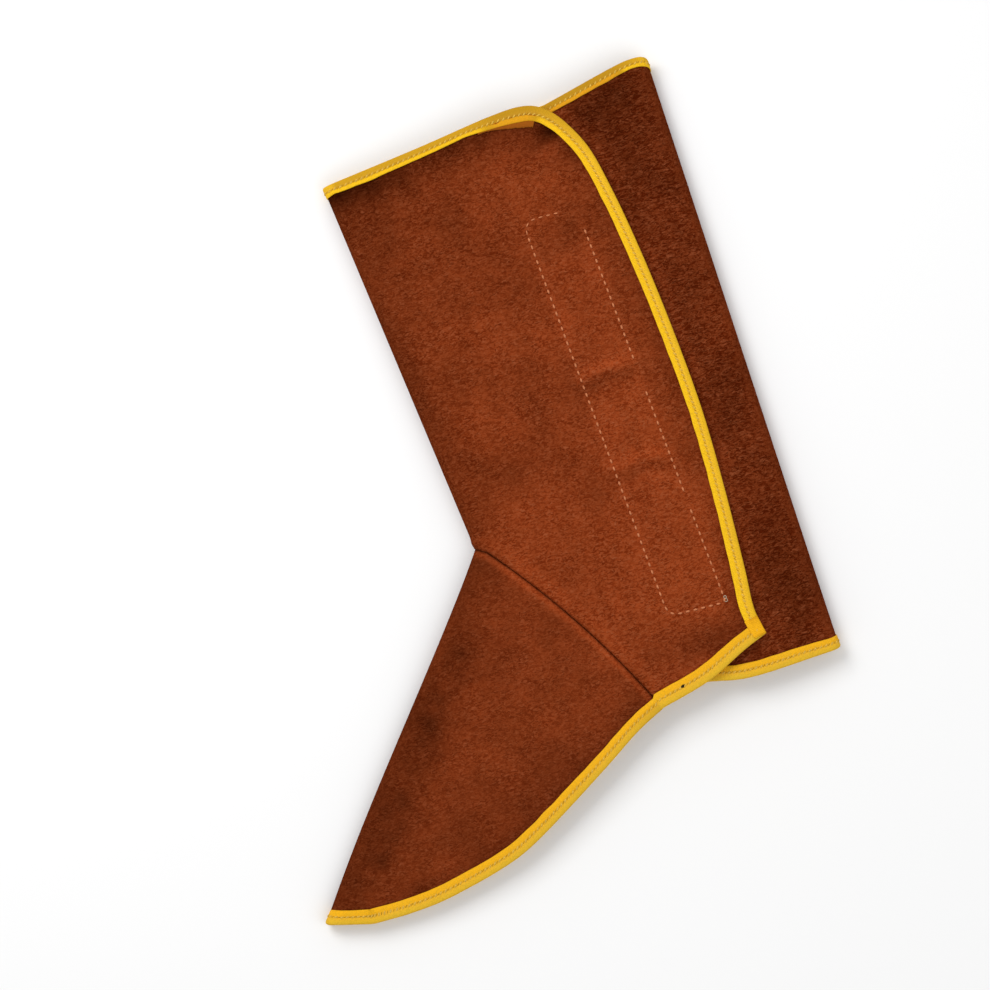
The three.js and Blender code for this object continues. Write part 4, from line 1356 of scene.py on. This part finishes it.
def binding(name, lip, worn, dull):
    """Woven tape: fine weave, worn outer fold, bright inner lip, duller band under the stitches."""
    s = Shader(name)
    tone = s.add("ShaderNodeAttribute", {"attribute_name": "tone"}, output="Fac")
    uv = s.coordinates("UV")
    along, round_it = s.split(uv, 0), s.split(uv, 1)
    where = s.coordinates()
    cloud = s.noise(where, TAPE_CLOUDS, detail=3.0, roughness=0.6)
    fibre = s.noise(where, TAPE_FIBRES, roughness=0.6)
    to_hem = s.add("ShaderNodeMath", {"operation": "ABSOLUTE"}, {0: round_it - 0.5}) * 2
    outer = 1 - s.ramp(to_hem, *OUTER_FADES)
    middle = s.ramp(to_hem, *MIDDLE_STARTS) * (1 - s.ramp(to_hem, *MIDDLE_ENDS))
    base = s.blend(outer * 0.8 + s.ramp(cloud, 0.5, 0.75) * 0.2, lip, worn)
    base = s.blend(middle * 0.6, base, dull)
    # a low tone darkens the outer fold and the middle, and spares the lip
    spared = s.ramp(to_hem, *LIP_SPARED) * s.ramp(tone, *SPARED_ABOVE)
    level = tone + (1 - tone) * spared
    grey = s.add("ShaderNodeCombineColor", None, {0: level, 1: level ** 1.25, 2: level})
    base = s.blend(1, base, grey, "MULTIPLY")
    # where the tone is lowest the lip turns orange
    orange_lip = s.ramp(to_hem, *LIP_ORANGE) * s.ramp(tone, *ORANGE_BELOW)
    base = s.blend(orange_lip * 0.75, base, tuple(c * tint for c, tint in zip(lip, ORANGE_TINT)))
    base = s.blend(s.ramp(fibre, 0.58, 0.36) * 0.35, base, darker(worn, 0.6))
    weave = s.add("ShaderNodeMath", {"operation": "SINE"}, {0: along * (2 * math.pi / THREADS_APART)})
    height = weave * 0.25 + fibre * 0.75
    return s.finish(Base_Color=base, Roughness=0.8, Normal=s.bump(height, 0.7, 0.0004),
                    Specular_IOR_Level=0.1)


def thread(name, colour):
    """Twisted sewing thread."""
    s = Shader(name)
    fuzz = s.noise(s.coordinates(), 2600, 2.0)
    base = s.blend(s.ramp(fuzz, 0.4, 0.65), darker(colour, 0.6), colour)
    normal = s.bump(fuzz, 0.5, 0.0001)
    return s.finish(Base_Color=base, Roughness=0.9, Normal=normal, Specular_IOR_Level=0.0)


def pile(name, colour):
    """The pile of hook or loop tape."""
    s = Shader(name)
    where = s.coordinates()
    tufts = s.add("ShaderNodeTexVoronoi", None, {"Vector": where, "Scale": 900})
    fuzz = s.noise(where, 1700, 3.0)
    base = s.blend(s.ramp(tufts * 0.6 + fuzz * 0.4, 0.2, 0.6), colour, darker(colour, 0.35))
    normal = s.bump(tufts * 0.7 + fuzz * 0.3, 0.8, 0.0005)
    return s.finish(Base_Color=base, Roughness=0.85, Normal=normal)


def pale_floor(name, colour):
    """The pale surface that the spat lies on."""
    s = Shader(name)
    grain = s.noise(s.coordinates(), 900, 2.0)
    base = s.blend(grain * 0.1, colour, darker(colour, 0.97))
    return s.finish(Base_Color=base, Roughness=0.9, Specular_IOR_Level=0.1)


# Settings

def colour_property(name, description, default):
    return FloatVectorProperty(name=name, description=description, default=default,
                               subtype="COLOR", size=3, min=0, max=1)


def length_property(name, description, millimetres):
    return FloatProperty(name=name, description=description, default=millimetres * MM,
                         min=0.05 * MM, precision=5, subtype="DISTANCE", unit="LENGTH")


class SpatSizes(bpy.types.PropertyGroup):
    """Thicknesses and stitch lengths."""

    hide: length_property("Hide", "Thickness of the leather", LEATHER)
    tape: length_property("Tape", "Thickness of the binding tape", 0.62)
    box_stitch: length_property("Box stitch", "Length of a stitch of the box", 2.9)
    box_pitch: length_property("Box pitch", "From stitch to stitch of the box", 4.5)
    box_thread: length_property("Box thread", "Thickness of the thread of the box", 1.3)
    tape_stitch: length_property("Tape stitch", "Length of a stitch of the tape", 2.7)
    tape_pitch: length_property("Tape pitch", "From stitch to stitch of the tape", 3.3)
    tape_thread: length_property("Tape thread", "Thickness of the thread of the tape", 1.0)


class SpatColours(bpy.types.PropertyGroup):
    """Colours of the finishes."""

    hide: colour_property("Hide", "Main tone of the suede", (0.222, 0.0390, 0.0092))
    # the grain's dark with painted shade, in the hollows between the curls of the nap
    hide_grain_and_shade: colour_property("Hide, dark", "Tint between the curls of the nap", (0.55, 0.36, 0.22))
    # painted highlight on the raised nap
    hide_nap_highlight: colour_property("Hide, light", "Raised nap of the suede", (0.32, 0.088, 0.034))
    tape: colour_property("Tape", "Inner lip of the upper tape", (0.89, 0.515, 0.010))
    tape_low: colour_property("Tape, lower", "Inner lip of the lower tape", (0.86, 0.42, 0.008))
    tape_worn: colour_property("Tape, worn", "Outer fold of the upper tape", (0.76, 0.43, 0.016))
    tape_pale: colour_property("Tape, pale", "Outer fold of the lower tape", (0.75, 0.465, 0.028))
    tape_dull: colour_property("Tape, dull", "Middle of the tape, by its stitches", (0.84, 0.47, 0.035))
    tape_cap: colour_property("Tape, folded", "The folded end of the lower tape", (0.88, 0.43, 0.008))
    # painted shade: the stub's colour is the yellow tape darkened as if in shade
    tape_stub_painted_shade: colour_property("Tape, stub", "The stub under the flap's corner", (0.36, 0.100, 0.004))
    box_thread: colour_property("Box thread", "Thread on the flap", (0.66, 0.23, 0.10))
    tape_thread: colour_property("Tape thread", "Thread on the tape", (0.84, 0.53, 0.09))
    # partly painted shade: the needle holes' marks stand for the thread's ends and the shade inside the
    # holes
    holes: colour_property("Needle holes", "Holes between the tape's stitches", (0.58, 0.31, 0.024))
    knot: colour_property("Knot", "Knotted thread end", (0.62, 0.50, 0.36))
    cut: colour_property("Cut", "Dark cut in the tape", (0.03, 0.02, 0.01))
    strip: colour_property("Strip", "Hook and loop tape", (0.055, 0.030, 0.018))
    floor: colour_property("Floor", "The pale surface", (0.86, 0.86, 0.86))


# Operators

class SPAT_OT_stage(bpy.types.Operator):
    """Lay the floor, hang the soft lights and set the camera over the spat"""

    bl_idname = "spat.stage"
    bl_label = "Stage"

    def execute(self, context):
        self.floor(context)
        self.lights(context)
        self.camera(context)
        return {"FINISHED"}

    def floor(self, context):
        bm = bmesh.new()
        bmesh.ops.create_grid(bm, x_segments=2, y_segments=2, size=FLOOR_REACH)
        mesh = bpy.data.meshes.new("floor")
        bm.to_mesh(mesh)
        bm.free()
        floor = bpy.data.objects.new("floor", mesh)
        context.scene.collection.objects.link(floor)
        mesh.materials.append(pale_floor("floor", context.scene.spat_colours.floor[:]))

    def lights(self, context):
        scene = context.scene
        scene.view_settings.view_transform = "Standard"
        scene.world = bpy.data.worlds.new("studio")
        scene.world.use_nodes = True
        sky = scene.world.node_tree.nodes["Background"]
        sky.inputs["Color"].default_value = (1.0, 1.0, 1.0, 1.0)
        sky.inputs["Strength"].default_value = SKY_STRENGTH
        turn = Matrix.Rotation(VIEW_LEAN, 4, "Z")
        for name, right, up, height, size, power in SOFT_LIGHTS:
            data = bpy.data.lights.new(name, "AREA")
            data.size, data.energy = size, power
            light = bpy.data.objects.new(name, data)
            light.location = turn @ Vector((right, up, height))
            light.rotation_euler = (-light.location).to_track_quat("-Z", "Y").to_euler()
            scene.collection.objects.link(light)

    def camera(self, context):
        data = bpy.data.cameras.new("camera")
        data.sensor_width = SENSOR
        data.lens = SENSOR * (CAMERA_HEIGHT - VIEW_PLANE) / (VIEW_WIDTH * MM)
        data.clip_end = SEEN_TO
        camera = bpy.data.objects.new("camera", data)
        middle = place((*VIEW_MIDDLE, 0.0))
        camera.location = (middle[0], middle[1], CAMERA_HEIGHT)
        camera.rotation_euler = (0, 0, VIEW_LEAN)
        context.scene.collection.objects.link(camera)
        context.scene.camera = camera


class SPAT_OT_leather(bpy.types.Operator):
    """Lay the suede of the leg wrap and of the vamp"""

    bl_idname = "spat.leather"
    bl_label = "Leather"

    def execute(self, context):
        sizes, colours = context.scene.spat_sizes, context.scene.spat_colours
        columns, points, uv = grid_of(shaft_points, SHAFT_LINES, SHAFT_ROWS)
        finish = suede("shaft suede", colours, SHAFT_NAP, under=CALF_END / SHAFT_COLUMNS)
        tone = shaft_tone(columns, points[..., :2])
        shaft = laid_grid("shaft_leather", place(points), uv, tone, finish, flip=True)
        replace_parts(thicken(shaft, sizes.hide), "shaft")
        _, points, uv = grid_of(vamp_points, VAMP_LINES, VAMP_LINE_ROWS)
        finish = suede("vamp suede", colours, VAMP_NAP)
        tone = vamp_tone(points[..., :2])
        vamp = laid_grid("vamp_leather", place(points), uv, tone, finish, flip=True)
        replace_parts(thicken(vamp, sizes.hide), "vamp")
        return {"FINISHED"}


class SPAT_OT_bindings(bpy.types.Operator):
    """Fold the yellow tape over the hems and sew it"""

    bl_idname = "spat.bindings"
    bl_label = "Bindings"

    def execute(self, context):
        sizes, colours = context.scene.spat_sizes, context.scene.spat_colours
        worn, dull = colours.tape_worn[:], colours.tape_dull[:]
        upper = binding("upper tape", colours.tape[:], worn, dull)
        lower = binding("lower tape", colours.tape_low[:], colours.tape_pale[:], dull)
        top, bottom = top_run(), bottom_run()
        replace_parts(tape_piece("top_tape", top, sizes.tape, upper), "top_binding")
        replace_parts(tape_piece("bottom_tape", bottom, sizes.tape, lower), "bottom_binding")
        folded, stub = colours.tape_cap[:], colours.tape_stub_painted_shade[:]
        tape_piece("tape_cap", cap_run(), sizes.tape, binding("folded tape", folded, folded, folded))
        tail_piece("tape_stub_painted_shade", sizes.tape, binding("tape stub in painted shade", stub, stub, stub))
        stitch = sizes.tape_pitch, sizes.tape_stitch, sizes.tape_thread
        pitch, length, width = [size / MM for size in stitch]
        threads, holes = [], []
        for run in (top, bottom):
            threads += self.marks(run, pitch, 0, THREAD_RISE, length, width)
            # the hole marks are partly painted shade of the holes' pits
            holes += self.marks(run, pitch, pitch / 2, HOLE_RISE, HOLE_LENGTH, HOLE_WIDTH)
        sew("tape_stitches", threads, thread("tape thread", colours.tape_thread[:]))
        sew("needle_holes", holes, thread("needle holes", colours.holes[:]))
        sew("tape_cut", [self.cut(bottom)], thread("cut", colours.cut[:]))
        return {"FINISHED"}

    def marks(self, run, pitch, start, rise, length, width):
        """Slanted marks along the middle of a tape, on both of its faces."""
        found = []
        for distance in np.arange(start + pitch, run.length - pitch, pitch):
            i = int(np.argmin(np.abs(run.along - distance)))
            turn = Matrix.Rotation(math.radians(STITCH_SLANT), 3, run.normal[i])
            ahead = np.array(turn @ Vector(run.ahead[i]))
            for side in (UP, DOWN):
                over = side * (STITCH_RISE + run.lift[i] + rise)
                middle = run.surface(distance, STITCH_SHARE * run.width[i], over)
                middle[2] = max(middle[2], width / 2)
                found.append((middle, ahead, side * run.normal[i], length, width))
        return found

    def cut(self, run):
        """The small dark cut in the lower tape."""
        near = run.hem[run.along < flap_hem.length, :2]
        i = int(np.argmin(np.linalg.norm(near - np.array(TAPE_CUT), axis=1)))
        middle = run.surface(run.along[i], CUT_INSET, STITCH_RISE - CUT_DEPTH)
        return middle, run.ahead[i], run.normal[i], CUT_LENGTH, CUT_WIDTH


class SPAT_OT_stitch_box(bpy.types.Operator):
    """Sew the stitch box of the hook strip on the flap, with its knot"""

    bl_idname = "spat.stitch_box"
    bl_label = "Stitch box"

    def execute(self, context):
        sizes, colours = context.scene.spat_sizes, context.scene.spat_colours
        stitch = sizes.box_pitch, sizes.box_stitch, sizes.box_thread
        pitch, length, width = [size / MM for size in stitch]
        stitches = []
        for xy, along in zip(*stitch_walk(pitch)):
            if any(math.dist(xy, worn[:2]) < worn[2] for worn in WORN_STITCHES):
                continue
            share = FAINT_SHARE if xy[1] > FAINT_ABOVE else 1.0
            stitches.append(self.stitch(xy, along, BOX_STITCH_RISE, length, width * share))
        sew("box_stitches", stitches, thread("box thread", colours.box_thread[:]))
        sew("thread_knot", self.knot(), thread("knot", colours.knot[:]))
        return {"FINISHED"}

    def stitch(self, xy, along, rise, length, width):
        """One thread on the flap's outer face."""
        middle = flap_surface(xy[None], rise)[0]
        return middle, np.array((*along, 0.0)), np.array((0.0, 0.0, 1.0)), length, width

    def knot(self):
        """Two small loops of thread, one above the other."""
        found = []
        for offset, radius in KNOT_LOOPS:
            for angle in np.linspace(0, 2 * math.pi, KNOT_BEADS, endpoint=False):
                way = np.array((math.cos(angle), math.sin(angle)))
                xy = np.array(THREAD_KNOT) + (0.0, offset) + way * radius
                found.append(self.stitch(xy, left_of(way), KNOT_RISE, BEAD_LENGTH, BEAD_WIDTH))
        return found


class SPAT_OT_closure(bpy.types.Operator):
    """Give the hook strip and the loop strip their pile"""

    bl_idname = "spat.closure"
    bl_label = "Hook and loop"

    def execute(self, context):
        finish = pile("pile", context.scene.spat_colours.strip[:])
        for name in ("hook_strip", "loop_strip"):
            mesh = frame["nodes"][name].data
            mesh.materials.clear()
            mesh.materials.append(finish)
        return {"FINISHED"}


class SPAT_PT_panel(bpy.types.Panel):
    """Lists the spat's operators and settings"""

    bl_idname = "SPAT_PT_panel"
    bl_label = "Welding spat"
    bl_space_type = "VIEW_3D"
    bl_region_type = "UI"
    bl_category = "Spat"

    def draw(self, context):
        for operator in OPERATORS:
            self.layout.operator(operator.bl_idname)
        for group in (context.scene.spat_sizes, context.scene.spat_colours):
            for key in group.__annotations__:
                self.layout.prop(group, key)


OPERATORS = (SPAT_OT_stage, SPAT_OT_leather, SPAT_OT_bindings, SPAT_OT_stitch_box, SPAT_OT_closure)
CLASSES = (SpatSizes, SpatColours, *OPERATORS, SPAT_PT_panel)


def register():
    for cls in CLASSES:
        bpy.utils.register_class(cls)
    bpy.types.Scene.spat_sizes = PointerProperty(type=SpatSizes)
    bpy.types.Scene.spat_colours = PointerProperty(type=SpatColours)


def unregister():
    del bpy.types.Scene.spat_colours
    del bpy.types.Scene.spat_sizes
    for cls in reversed(CLASSES):
        bpy.utils.unregister_class(cls)


def main():
    register()
    bpy.ops.spat.stage()
    bpy.ops.spat.leather()
    bpy.ops.spat.bindings()
    bpy.ops.spat.stitch_box()
    bpy.ops.spat.closure()


if __name__ == "__main__":
    main()
